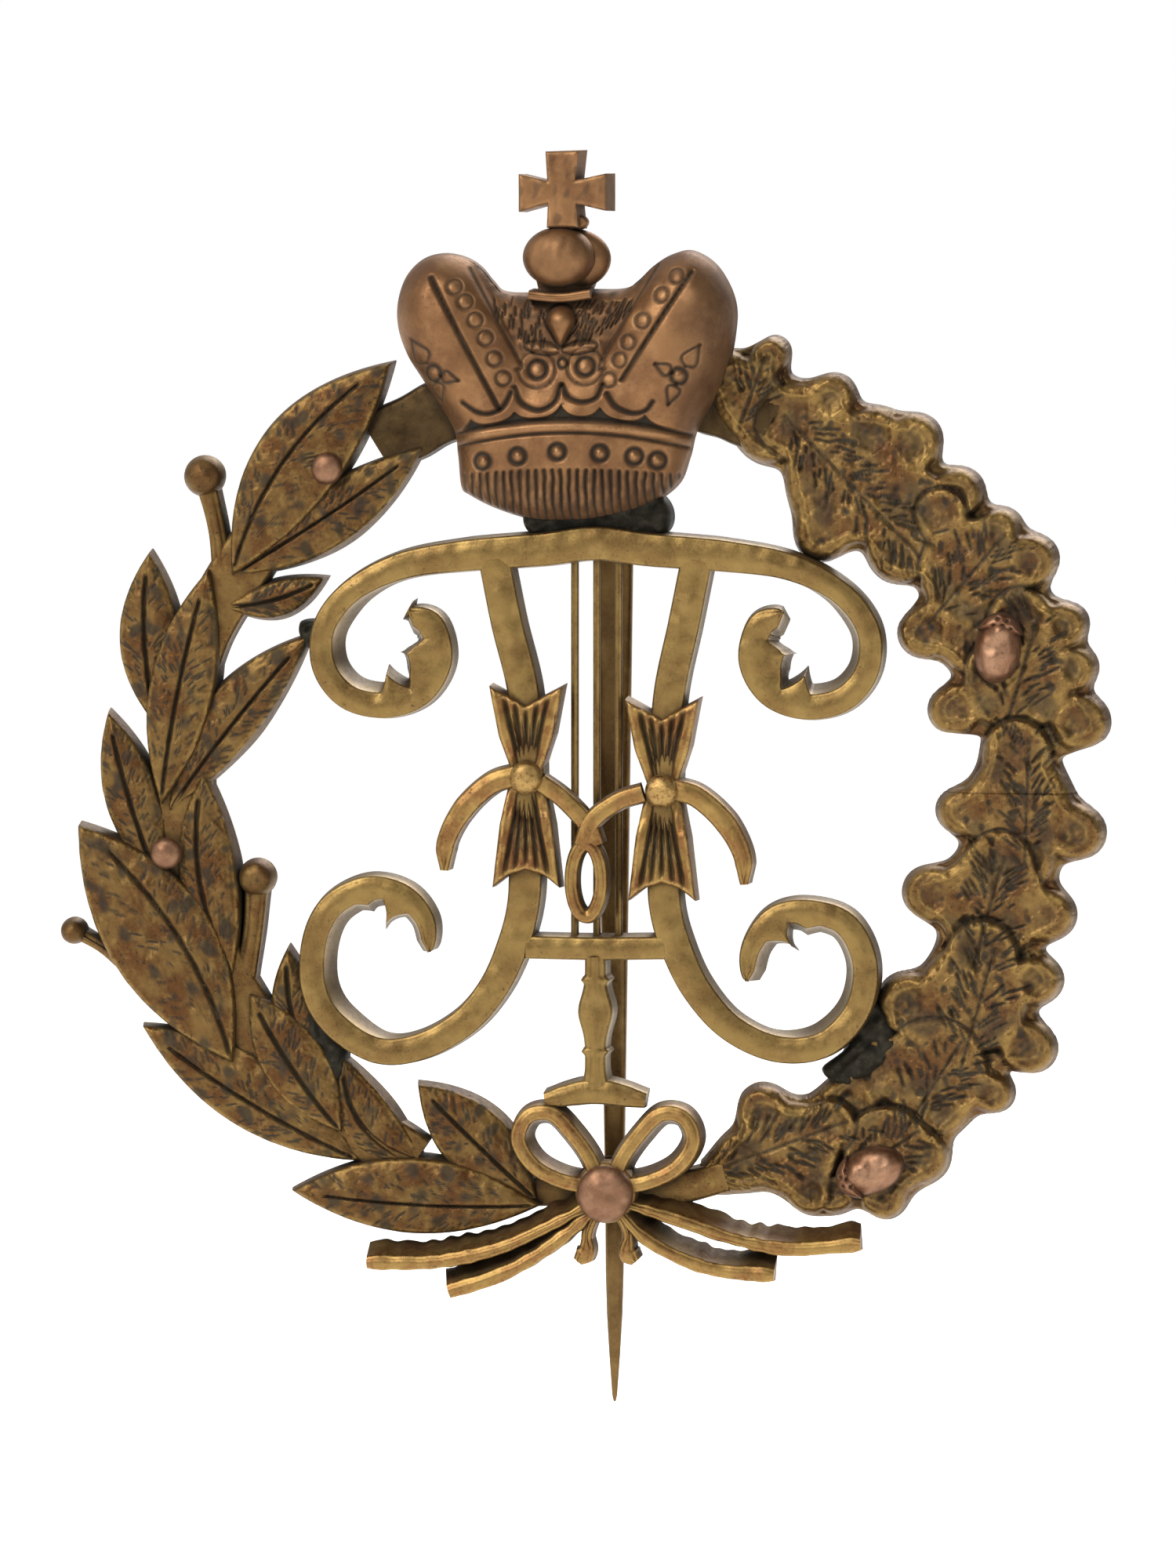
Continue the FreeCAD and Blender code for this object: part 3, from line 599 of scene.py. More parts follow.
@dataclass(frozen=True)
class Place:
    """Where a CAD node lies, in millimetres: its low and high corners as x, y and z."""

    low: np.ndarray
    high: np.ndarray

    @classmethod
    def of(cls, node: str) -> "Place":
        """Reads the node's box from the frame."""
        low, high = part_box(node)
        return cls(np.array(low) / MM, np.array(high) / MM)

    @property
    def middle(self) -> Point:
        """The middle as seen from the front."""
        return (float(self.low[0] + self.high[0]) / 2, float(self.low[2] + self.high[2]) / 2)

    @property
    def front(self) -> float:
        """The height of the front above the cap."""
        return float(-self.low[1])

    @property
    def back(self) -> float:
        """The height of the back above the cap."""
        return float(-self.high[1])


# ---------------------------------------------------------------- metals


def linear(colour: str) -> tuple[float, float, float, float]:
    """Turns an sRGB hex colour into the linear values that a shader reads.

    Args:
        colour: The colour, as # and six hex digits.

    Returns:
        The colour with its opacity, in linear light.
    """
    parts = [int(colour[i:i + 2], 16) / 255 for i in (1, 3, 5)]
    red, green, blue = (c / 12.92 if c <= 0.04045 else ((c + 0.055) / 1.055) ** 2.4 for c in parts)
    return (red, green, blue, 1.0)


def add_node(tree: bpy.types.NodeTree, kind: str, settings: dict | None = None, inputs: dict | None = None,
             out: int | str = 0) -> bpy.types.NodeSocket | None:
    """Adds a node, sets its properties and fills its inputs.

    Args:
        tree: The node tree.
        kind: The node's type.
        settings: Its properties by name.
        inputs: Values by input name or number, or another node's output to link.
        out: Which output to hand back, by name or number.

    Returns:
        That output, or None for a node that has none.
    """
    node = tree.nodes.new(kind)
    for key, value in (settings or {}).items():
        setattr(node, key, value)
    for key, value in (inputs or {}).items():
        if isinstance(value, bpy.types.NodeSocket):
            tree.links.new(value, node.inputs[key])
        else:
            node.inputs[key].default_value = value
    return node.outputs[out] if len(node.outputs) else None


@dataclass(frozen=True)
class AgedMetal:
    """A copper alloy that has browned in the hollows and stayed bright where it is rubbed.

    Attributes:
        name: The metal and how it was made.
        colour: Its usual tone.
        shade: The tone of the browner blotches.
        bright: The rubbed tone.
        dark: The tone that the hollows have browned to, also painted as shade where pieces meet.
        roughness: How matt the usual tone is.
        blotch: The size of the blotches, in millimetres.
        grain: The size of the fine speckle, in millimetres.
        speckle: How strong the speckle is.
        bump: How deep the surface's grain is, in millimetres.
        occlusion_shade: How strongly ambient occlusion paints shade in the dark tone where pieces meet.
    """

    name: str
    colour: str
    shade: str
    bright: str
    dark: str
    roughness: float = 0.42
    blotch: float = 2.2
    grain: float = 0.22
    speckle: float = 0.5
    bump: float = 0.012
    # Painted shade: how strongly ambient occlusion darkens the metal towards the dark tone where pieces meet.
    occlusion_shade: float = 0.8

    def material(self) -> bpy.types.Material:
        """Builds the node material, with shade painted from ambient occlusion.

        Returns:
            The material.
        """
        made = bpy.data.materials.new(self.name)
        made.use_nodes = True
        tree = made.node_tree
        tree.nodes.clear()
        place = add_node(tree, "ShaderNodeTexCoord", out="Object")
        blotches, warm, speckles, scratches = (
            add_node(tree, "ShaderNodeTexNoise", None,
                     {"Vector": place, "Scale": 1 / (size * MM), "Detail": detail, "Roughness": rough})
            for size, detail, rough in ((self.blotch, 5.0, 0.62), (0.45 * self.blotch, 3.0, 0.6),
                                        (self.grain, 3.0, 0.7), (0.35 * self.grain, 2.0, 0.5)))
        eased = {"interpolation_type": "SMOOTHSTEP"}
        mottled, lifted, flecked, matted, thick, specks = (
            add_node(tree, "ShaderNodeMapRange", eased, {"Value": value, "From Min": low, "From Max": high})
            for value, low, high in ((blotches, 0.36, 0.64), (warm, 0.5, 0.75), (speckles, 0.3, 0.6),
                                     (speckles, 0.3, 0.7), (blotches, 0.35, 0.6), (speckles, 0.56, 0.7)))
        wear, mark = (add_node(tree, "ShaderNodeAttribute", {"attribute_name": name}, out="Fac")
                      for name in ("wear", "patina_and_shade"))
        # Painted shade: ambient occlusion darkens the colour towards the dark tone in creases and where
        # pieces meet.
        shut = add_node(tree, "ShaderNodeAmbientOcclusion", {"samples": 6}, {"Distance": 0.9 * MM}, out="AO")
        painted_crevice_shade = add_node(tree, "ShaderNodeMapRange", eased,
                           {"Value": shut, "From Min": 0.75, "From Max": 0.3, "To Max": self.occlusion_shade})
        times, most, least = ({"operation": name} for name in ("MULTIPLY", "MAXIMUM", "MINIMUM"))
        specks = add_node(tree, "ShaderNodeMath", times, {0: specks, 1: thick})
        specks = add_node(tree, "ShaderNodeMath", times, {0: specks, 1: self.speckle})
        gone = add_node(tree, "ShaderNodeMath", most, {0: mark, 1: painted_crevice_shade})
        gone = add_node(tree, "ShaderNodeMath", most, {0: gone, 1: specks})
        gone = add_node(tree, "ShaderNodeMath", least, {0: gone, 1: 0.96})
        lifted = add_node(tree, "ShaderNodeMath", times, {0: lifted, 1: 0.35})
        rubbed = add_node(tree, "ShaderNodeMath", times, {0: wear, 1: flecked})
        tone = linear(self.colour)
        for share, colour in ((mottled, self.shade), (lifted, self.bright), (rubbed, self.bright),
                              (gone, self.dark)):
            tone = add_node(tree, "ShaderNodeMix", {"data_type": "RGBA"},
                            {0: share, 6: tone, 7: linear(colour)}, 2)
        sum_up = {"operation": "MULTIPLY_ADD"}
        rough = add_node(tree, "ShaderNodeMath", sum_up, {0: gone, 1: 0.3, 2: self.roughness})
        rough = add_node(tree, "ShaderNodeMath", sum_up, {0: matted, 1: 0.12, 2: rough})
        metal = add_node(tree, "ShaderNodeMath", sum_up, {0: gone, 1: -0.55, 2: 1.0})
        level = add_node(tree, "ShaderNodeMath", sum_up, {0: scratches, 1: 0.4, 2: speckles})
        bump = add_node(tree, "ShaderNodeBump", None, {"Distance": self.bump * MM, "Height": level})
        shader = add_node(tree, "ShaderNodeBsdfPrincipled", None,
                          {"Base Color": tone, "Metallic": metal, "Roughness": rough, "Normal": bump})
        add_node(tree, "ShaderNodeOutputMaterial", None, {"Surface": shader})
        return made


class Metal(Enum):
    """The badge's metals."""

    # Cast brass, chased and left to brown: mottled brown with green-black hollows.
    WREATH = AgedMetal("cast_brass_browned", "#705733", "#5a3d24", "#967946", "#1f1e15",
                       roughness=0.44, blotch=1.4, speckle=0.9, bump=0.02)
    # Oak: the same casting, more worn on its rims.
    OAK = AgedMetal("cast_brass_rubbed", "#7a6039", "#5e4128", "#a6874c", "#1f1e16",
                    roughness=0.42, blotch=1.5, speckle=0.8, bump=0.02)
    # Sawn brass plate: even yellow-brown, satin from handling.
    LYRE = AgedMetal("sawn_brass_plate", "#846b3e", "#705632", "#9b8150", "#2a2418",
                     roughness=0.36, blotch=1.8, grain=0.18, speckle=0.6, bump=0.01)
    # The ribbons: cast brass, redder where the gilding has gone.
    RIBBON = AgedMetal("cast_brass_ribbon", "#8c7040", "#765030", "#b5945a", "#231f16",
                       roughness=0.4, blotch=1.4, speckle=0.5, bump=0.012)
    # Crown: reddish bronze, smooth and hand engraved.
    CROWN = AgedMetal("cast_bronze_engraved", "#8c6745", "#735238", "#a57e58", "#1c1a13",
                      roughness=0.45, blotch=2.2, grain=0.14, speckle=0.22, bump=0.006)
    # Worn copper domes: rosy and soft.
    COPPER = AgedMetal("rubbed_copper", "#8f6a51", "#77543d", "#ac896d", "#332217",
                       roughness=0.4, blotch=0.9, grain=0.16, speckle=0.25, bump=0.008)
    # Filed brass fittings behind the badge.
    FITTING = AgedMetal("filed_brass_fitting", "#4c3c27", "#36291a", "#6a5434", "#161510",
                        roughness=0.46, speckle=0.5, bump=0.012)
    # Hard-drawn brass wire.
    NEEDLE = AgedMetal("drawn_brass_wire", "#745a36", "#5a4328", "#92774a", "#231d14",
                       roughness=0.33, blotch=1.6, grain=0.12, speckle=0.35, bump=0.005, occlusion_shade=0.5)
    # Soft solder: grey-black, lumpy and matt.
    SOLDER = AgedMetal("soft_solder", "#3c372c", "#2b281f", "#5f5848", "#141310",
                       roughness=0.5, blotch=0.8, grain=0.2, speckle=0.6, bump=0.02)

    def __init__(self, finish: AgedMetal) -> None:
        """Keeps the finish apart from the material made from it."""
        self.finish = finish

    def material(self) -> bpy.types.Material:
        """The metal's material, made once."""
        return bpy.data.materials.get(self.finish.name) or self.finish.material()


# ---------------------------------------------------------------- the wreath


@dataclass(frozen=True)
class LaurelLeaf:
    """One laurel leaf: base, tip, the bulge of its left and right sides, and its lie.

    Attributes:
        base: Where it grows.
        tip: Its point.
        left: The bulge of its left side, looking from base to tip.
        right: The bulge of its right side.
        top: Its height above the cap.
        bend: How far the midrib bows to the left.
    """

    base: Point
    tip: Point
    left: float
    right: float
    top: float
    bend: float = 0.0


@dataclass
class LaurelBranch:
    """The left branch: leaves over a stem, with three berries, cast in one."""

    edge_top: float = 1.75
    over_top: float = 2.25
    veins_per_mm: float = 1.9
    leaves: list[LaurelLeaf] = field(default_factory=list)

    def __post_init__(self) -> None:
        """Lays the leaves out: those at the edges first, those over them last."""
        low, high = self.edge_top, self.over_top
        self.leaves = self.leaves or [
            LaurelLeaf((-17.5, 8.7), (-12.7, 10.1), 0.5, 1.2, low, 0.0),
            LaurelLeaf((-20.6, 2.8), (-21.1, 11.3), 1.7, 1.2, low, 0.2),
            LaurelLeaf((-20.6, -4.6), (-23.1, 3.7), 1.4, 1.2, low, 0.1),
            LaurelLeaf((-13.0, -14.1), (-14.5, -7.5), 1.5, 0.7, low, 0.1),
            LaurelLeaf((-11.0, -17.7), (-21.5, -11.3), 1.7, 1.7, low, 0.4),
            LaurelLeaf((-8.0, -17.8), (-11.9, -12.7), 2.2, 0.4, low, 0.3),
            LaurelLeaf((-20.2, -1.1), (-13.4, 7.4), 1.9, 0.9, low + 0.1, -0.3),
            LaurelLeaf((-17.2, 10.2), (-8.0, 16.3), 1.1, 1.7, low + 0.1, 0.1),
            LaurelLeaf((-17.1, -8.9), (-18.5, 0.9), 1.9, 0.9, low + 0.2, 0.4),
            LaurelLeaf((-17.1, 10.2), (-9.5, 20.3), 2.8, 1.3, high, 0.5),
            LaurelLeaf((-20.5, -0.7), (-18.2, 10.5), 1.7, 1.4, high, 0.1),
            LaurelLeaf((-17.1, -13.0), (-24.5, -1.7), 2.2, 2.9, high, -0.8),
            LaurelLeaf((-11.9, -16.3), (-16.3, -9.7), 1.6, 1.5, high - 0.2, 0.2),
            LaurelLeaf((-2.6, -19.5), (-8.3, -14.0), 1.7, 1.6, low, 0.0),
            LaurelLeaf((-2.4, -19.7), (-14.3, -19.1), 1.7, 1.9, high - 0.1, 0.4),
        ]

    def leaf(self, leaf: LaurelLeaf, seed: int) -> Shell:
        """One leaf: gently domed, with a cut midrib, side veins and chasing strokes.

        Args:
            leaf: The leaf.
            seed: Which random strokes.

        Returns:
            Its shell.
        """
        draw = np.random.default_rng(seed)
        base, tip = np.array(leaf.base), np.array(leaf.tip)
        length = float(np.linalg.norm(tip - base))
        along = (tip - base) / length
        across = np.array([-along[1], along[0]])
        axis = (base + tip) / 2 + across * (leaf.left - leaf.right) / 2

        def rib(share: np.ndarray) -> np.ndarray:
            """The midrib: the line halfway between the sides, bowed by bend."""
            bow = (leaf.left - leaf.right) / 2 + leaf.bend
            return base + along * length * share[:, None] + across * (bow * (1 - (2 * share - 1) ** 2))[:,
                                                                                                        None]

        def top(front: Relief) -> None:
            """Domes the leaf and cuts its veins."""
            x, z = front.x, front.z
            width = (leaf.left + leaf.right) / 2
            front.height += leaf.top - 0.55 + 0.42 * arch(front.inset
                                                          / (0.8 * width)) + 0.16 * arch(front.inset / 0.16)
            front.height += 0.035 * unevenness(x, z, 1.1, seed) + 0.014 * unevenness(x, z, 0.35, seed + 1)
            sunk = step(unevenness(x, z, 1.3, seed + 2), 0.3, 1.3)
            front.patina_and_shade = np.maximum(front.patina_and_shade, 0.7 * sunk)
            count = int(self.veins_per_mm * length * 4)
            roots = rib(draw.uniform(0.12, 0.9, count))
            side = np.where(draw.random(count) < 0.5, -1.0, 1.0)
            lean = draw.uniform(0.55, 0.95, count)
            ways = along * np.cos(lean)[:, None] + across * (np.sin(lean) * side)[:, None]
            starts = roots + ways * draw.uniform(0.15, width * 0.9, count)[:, None]
            front.strokes(starts, starts + ways * draw.uniform(0.2, 0.7, count)[:, None], 0.055, 0.05, 0.9)
            front.wear = np.maximum(front.wear, 0.85 * (1 - step(np.abs(front.inset - 0.12), 0.0, 0.16)))
            veins = draw.uniform(0.06, 0.1)
            front.groove(distance_to(x, z, rib(np.linspace(0.04, 0.86, 90))), veins, 0.26, 1.0)

        outline = leaf_outline(leaf.base, leaf.tip, leaf.left, leaf.right, int(90 + 11 * length))
        return relief(outline, top, rings=34, centre=(float(axis[0]), float(axis[1])), flare=0.16)

    def stalk(self, root: Point, head: Point, width: float, radius: float, seed: int) -> list[Shell]:
        """A berry on its stalk.

        Args:
            root: Where the stalk grows.
            head: Where the berry sits.
            width: The stalk's width.
            radius: The berry's radius.
            seed: A number for the berry; not used.

        Returns:
            The stalk and the berry.
        """
        path = smooth([root, ((root[0] + head[0]) / 2 + 0.15, (root[1] + head[1]) / 2), head], 24)
        swell = width / 2 * (1 + 0.25 * np.linspace(-1, 1, 24) ** 2)
        stem = band(path, swell, swell, 1.35, 0.0, bevel=0.22, crown=0.12)
        dome = [(radius * 0.9, 0.0), (radius * 1.04, 0.5), (radius, 1.15), (radius * 0.8, 1.75),
                (radius * 0.4, 2.05),
                (0.04, 2.12)]
        return [stem, turned(dome, head, 48, uneven=0.03)]

    def build(self) -> None:
        """Makes the branch as three pieces of one casting."""
        metal = Metal.WREATH.material()
        shells = [self.leaf(leaf, 40 + number) for number, leaf in enumerate(self.leaves)]
        groups = {"laurel_upper": [0, 1, 6, 7, 9, 10], "laurel_side": [2, 8, 11, 3],
                  "laurel_foot": [4, 5, 12, 13, 14]}
        extra = {"laurel_upper": self.stalk((-17.6, 10.0), (-18.5, 14.9), 0.85, 0.95, 1),
                 "laurel_side": self.stalk((-22.6, -8.2), (-24.8, -6.8), 0.55, 0.62, 2)
                 + self.stalk((-16.7, -9.4), (-16.0, -4.2), 0.95, 0.88, 3) + [self.spine()],
                 "laurel_foot": [self.stem()]}
        for name, numbers in groups.items():
            piece = mesh_piece(name, [shells[number] for number in numbers] + extra[name], metal)
            fit(piece, BADGE, "wreath_brass", "laurel_branch")

    def spine(self) -> Shell:
        """The stem that the leaves hide, along the middle of the branch.

        Returns:
            The stem.
        """
        path = smooth([(-15.5, 12.5), (-18.6, 7.0), (-19.5, 0.0), (-17.8, -8.5), (-13.5, -14.3),
                       (-8.5, -17.8)], 160)
        wobble = 1.25 + 0.12 * np.sin(np.linspace(0, 21, 160))
        return band(path, wobble, wobble, 1.45, 0.0, bevel=0.3, crown=0.12)

    def stem(self) -> Shell:
        """The bare stem under the tie."""
        path = smooth([(-4.5, -19.2), (-1.6, -19.1), (0.8, -19.0)], 30)
        return band(path, 0.7, 0.7, 1.05, 0.0, bevel=0.2)


@dataclass
class OakBranch:
    """The right branch: a chain of lobed leaves that lie over one another, cast in one.

    Attributes:
        top: The height of a leaf above the cap.
        step: How much neighbouring leaves differ in height.
        blend: How softly the lobes run together.
        line: The line along the middle of the branch, from the crown down.
        leaves: Each leaf's lobes as x, z and radius, the middle first.
        veins: Each leaf's midrib, from its root to its tip.
    """

    top: float = 1.95
    step: float = 0.22
    blend: float = 0.4
    line: Sequence[Point] = ((5.75, 20.6), (7.4, 19.0), (11.6, 15.6), (16.2, 11.4), (19.0, 6.2), (19.9, 0.2),
                             (19.1, -5.2), (17.9, -10.0), (15.2, -14.4), (11.6, -16.9), (8.0, -17.8),
                             (5.3, -18.4))
    leaves: Sequence[Sequence[tuple[float, float, float]]] = (
        ((7.4, 18.6, 1.8), (6.4, 19.8, 1.15), (8.5, 20.7, 0.95), (8.4, 17.1, 1.6)),
        ((12.2, 14.8, 3.1), (9.6, 17.6, 1.8), (11.4, 18.7, 1.15), (13.4, 16.9, 1.3), (15.3, 16.6, 1.35),
         (14.9, 13.6, 2.0), (17.4, 14.2, 1.2), (10.9, 12.2, 1.35), (14.6, 11.4, 1.6)),
        ((18.1, 10.4, 2.6), (16.6, 13.2, 1.3), (19.4, 12.6, 0.9), (20.9, 11.0, 1.25), (15.8, 7.6, 1.35),
         (18.2, 7.3, 1.8)),
        ((20.2, 5.4, 2.55), (20.4, 8.2, 1.6), (22.5, 8.0, 1.05), (23.0, 5.9, 1.0), (23.2, 3.3, 1.4),
         (17.2, 3.9, 1.3)),
        ((20.3, -0.6, 2.6), (20.2, 1.9, 1.7), (23.0, -1.9, 1.4), (17.5, -0.9, 1.2), (20.4, -3.2, 1.6)),
        ((19.0, -5.2, 2.65), (19.4, -3.4, 1.7), (21.7, -5.8, 1.3), (16.1, -4.8, 1.4), (18.5, -8.0, 1.8)),
        ((18.1, -9.7, 2.65), (18.6, -7.6, 1.7), (21.2, -8.9, 1.2), (20.8, -12.1, 1.35), (15.0, -10.0, 1.5)),
        ((16.3, -13.2, 2.6), (19.1, -14.3, 1.0), (13.4, -13.0, 1.6), (12.2, -15.0, 1.5), (16.6, -15.0, 1.3)),
        ((14.1, -17.0, 2.2), (15.8, -17.3, 1.25), (13.9, -19.3, 1.1), (11.6, -19.1, 1.0)),
        ((9.6, -17.0, 2.3), (8.1, -15.2, 1.3), (11.4, -15.8, 1.3), (10.4, -19.1, 1.05), (7.2, -17.6, 1.5),
         (5.9, -18.3, 0.9)),
    )
    veins: Sequence[tuple[Point, Point]] = (
        ((7.0, 17.2), (8.3, 20.6)), ((9.2, 17.8), (15.6, 11.2)), ((16.0, 8.0), (19.6, 12.2)),
        ((19.6, 2.8), (21.2, 8.4)), ((20.6, -3.4), (20.8, 2.6)), ((18.2, -8.2), (19.6, -3.0)),
        ((17.6, -13.0), (19.2, -7.4)), ((15.2, -15.6), (17.6, -11.8)), ((12.2, -18.4), (15.6, -16.0)),
        ((4.9, -18.4), (12.2, -15.6)))

    def chase(self, front: Relief) -> None:
        """Lays the leaves over one another, cups their lobes and cuts their strokes.

        A leaf covers what lies under it where its own field is positive, and leaves a dark line
        along its edge.

        Args:
            front: The surface.
        """
        x, z = front.x, front.z
        front.height += self.top - 0.5
        for number, lobes in enumerate(np.array(lobes) for lobes in self.leaves):
            root, end = (np.array(point) for point in self.veins[number])
            along = (end - root) / np.linalg.norm(end - root)
            depth = lobe_field(x, z, lobes, self.blend / 2)
            over = step(depth, -0.04, 0.12)
            lift = (x - lobes[0, 0]) * along[0] + (z - lobes[0, 1]) * along[1]
            own = self.top - self.step * (number % 2) + 0.06 * lift + 0.08 * np.exp(-((depth - 0.3)
                                                                                      / 0.2) ** 2)
            away = np.hypot(x[..., None] - lobes[1:, 0], z[..., None] - lobes[1:, 1]) / lobes[1:, 2]
            depths = 0.35 + 0.65 * np.abs(np.sin(lobes[1:, 0] * 5.0 + lobes[1:, 1] * 3.0))
            cup = (depths * (1 - step(away, 0.25, 0.75))).max(axis=-1)
            own -= 0.28 * cup
            front.height = front.height * (1 - over) + own * over
            front.patina_and_shade = front.patina_and_shade * (1 - over) + over * cup * (0.5 + 0.3 * unevenness(x, z, 0.5,
                                                                                            number))
            front.wear = front.wear * (1 - over) + over * 0.5 * np.exp(-((depth - 0.28) / 0.16) ** 2)
            front.groove(depth + 0.05, 0.09, 0.12, 0.9)
        self.strokes(front)
        front.height += 0.05 * unevenness(x, z, 1.4, 5) + 0.03 * unevenness(x, z, 0.45, 6)
        pits = step(unevenness(x, z, 0.9, 20), 0.6, 1.5)
        front.height -= 0.08 * pits
        front.patina_and_shade = np.maximum(front.patina_and_shade, 0.8 * pits * step(front.inset, 0.6, 0.9))
        front.patina_and_shade = np.maximum(front.patina_and_shade, 0.5 * step(unevenness(x, z, 2.4, 33), 0.1, 1.3))
        front.height = 0.85 + (front.height - 0.85) * arch(front.inset / 0.8)
        front.patina_and_shade *= step(front.inset, 0.35, 0.7)
        front.bead(front.inset - 0.72, 0.1, 0.06, 0.55)

    def strokes(self, front: Relief) -> None:
        """Cuts each leaf's midrib, and strokes that leave it on both sides towards the tip."""
        draw = np.random.default_rng(700)
        for root, end in self.veins:
            root, end = np.array(root), np.array(end)
            length = float(np.linalg.norm(end - root))
            along = (end - root) / length
            across = np.array([-along[1], along[0]])
            count = int(9 * length)
            side = np.where(draw.random(count) < 0.5, -1.0, 1.0)
            lean = draw.uniform(0.45, 1.05, count)
            ways = along * np.cos(lean)[:, None] + across * (np.sin(lean) * side)[:, None]
            share = draw.uniform(0.05, 0.95, count)
            starts = root + along * (length * share)[:, None] + ways * draw.uniform(0.15, 1.5, count)[:, None]
            front.strokes(starts, starts + ways * draw.uniform(0.4, 1.2, count)[:, None], 0.075, 0.13, 0.95)
            front.groove(distance_to(front.x, front.z, root + (end - root) * np.linspace(0, 1, 70)[:, None]),
                         0.09, 0.12, 0.85)

    def half(self, first: float, last: float, rings: int = 400, across: int = 90) -> Shell:
        """A stretch of the branch: sections square to its middle line, edge to edge.

        Args:
            first: Where the stretch begins, as a share of the line.
            last: Where it ends.
            rings: How many sections it has.
            across: How many points lie across the front.

        Returns:
            Its closed shell.
        """
        lobes = np.array([lobe for leaf in self.leaves for lobe in leaf])
        line = smooth(self.line, 2 * rings)
        share = np.linspace(0.0, 1.0, 2 * rings)
        heading = np.gradient(line, axis=0)
        heading /= np.linalg.norm(heading, axis=1, keepdims=True)
        normal = np.stack([-heading[:, 1], heading[:, 0]], axis=1)
        sides = [reach(line, way, lobes, self.blend, 7.0) for way in (normal, -normal)]
        edges = np.vstack([line + normal * sides[0][:, None], (line - normal * sides[1][:, None])[::-1]])
        chosen = (share >= first) & (share <= last)
        line, normal, out, into = (part[chosen] for part in (line, normal, sides[0], sides[1]))
        place = np.linspace(1.0, -1.0, across)
        offset = np.where(place > 0, place * out[:, None], place * into[:, None])
        spots = line[:, None] + normal[:, None] * offset[..., None]
        zero = np.zeros_like(offset)
        inset = distance_to(spots[..., 0], spots[..., 1], evenly(edges, 3000, closed=True))
        front = Relief(spots[..., 0], spots[..., 1], inset, zero.copy(), zero.copy(), zero.copy())
        self.chase(front)
        down = np.array([0.75, 0.5, 0.25, 0.0])
        draft = 0.16 * (1 - down)
        right = line[:, None] - normal[:, None] * (into[:, None] + draft)[..., None]
        left = line[:, None] + normal[:, None] * (out[:, None] + draft)[..., None]
        under = left[:, -1:] + (right[:, -1:] - left[:, -1:]) * np.linspace(0.9, 0.1, 8)[None, :, None]
        plan = np.concatenate([spots, right, under, left[:, ::-1]], axis=1)
        height = np.concatenate([front.height, front.height[:, -1:] * down, 0.0 * under[..., 0],
                                 front.height[:, :1] * down[::-1]], axis=1)
        rest = np.full((len(line), 16), 0.3)
        dark = np.concatenate([front.patina_and_shade, rest], axis=1)
        bright = np.concatenate([front.wear, 0 * rest], axis=1)
        return loft(np.stack([plan[..., 0], -height, plan[..., 1]], axis=-1), dark, bright)

    def build(self) -> None:
        """Makes the branch as two pieces of one casting, whose ends meet under a leaf."""
        metal = Metal.OAK.material()
        stem = band(smooth([(6.4, -18.3), (3.6, -19.0), (0.8, -19.0)], 30), 0.75, 0.75, 1.5, 0.0, bevel=0.25)
        for name, shells in (("oak_upper", [self.half(0.0, 0.5)]),
                             ("oak_lower", [self.half(0.498, 1.0), stem])):
            fit(mesh_piece(name, shells, metal), BADGE, "wreath_brass", "oak_branch")


# ---------------------------------------------------------------- the crown


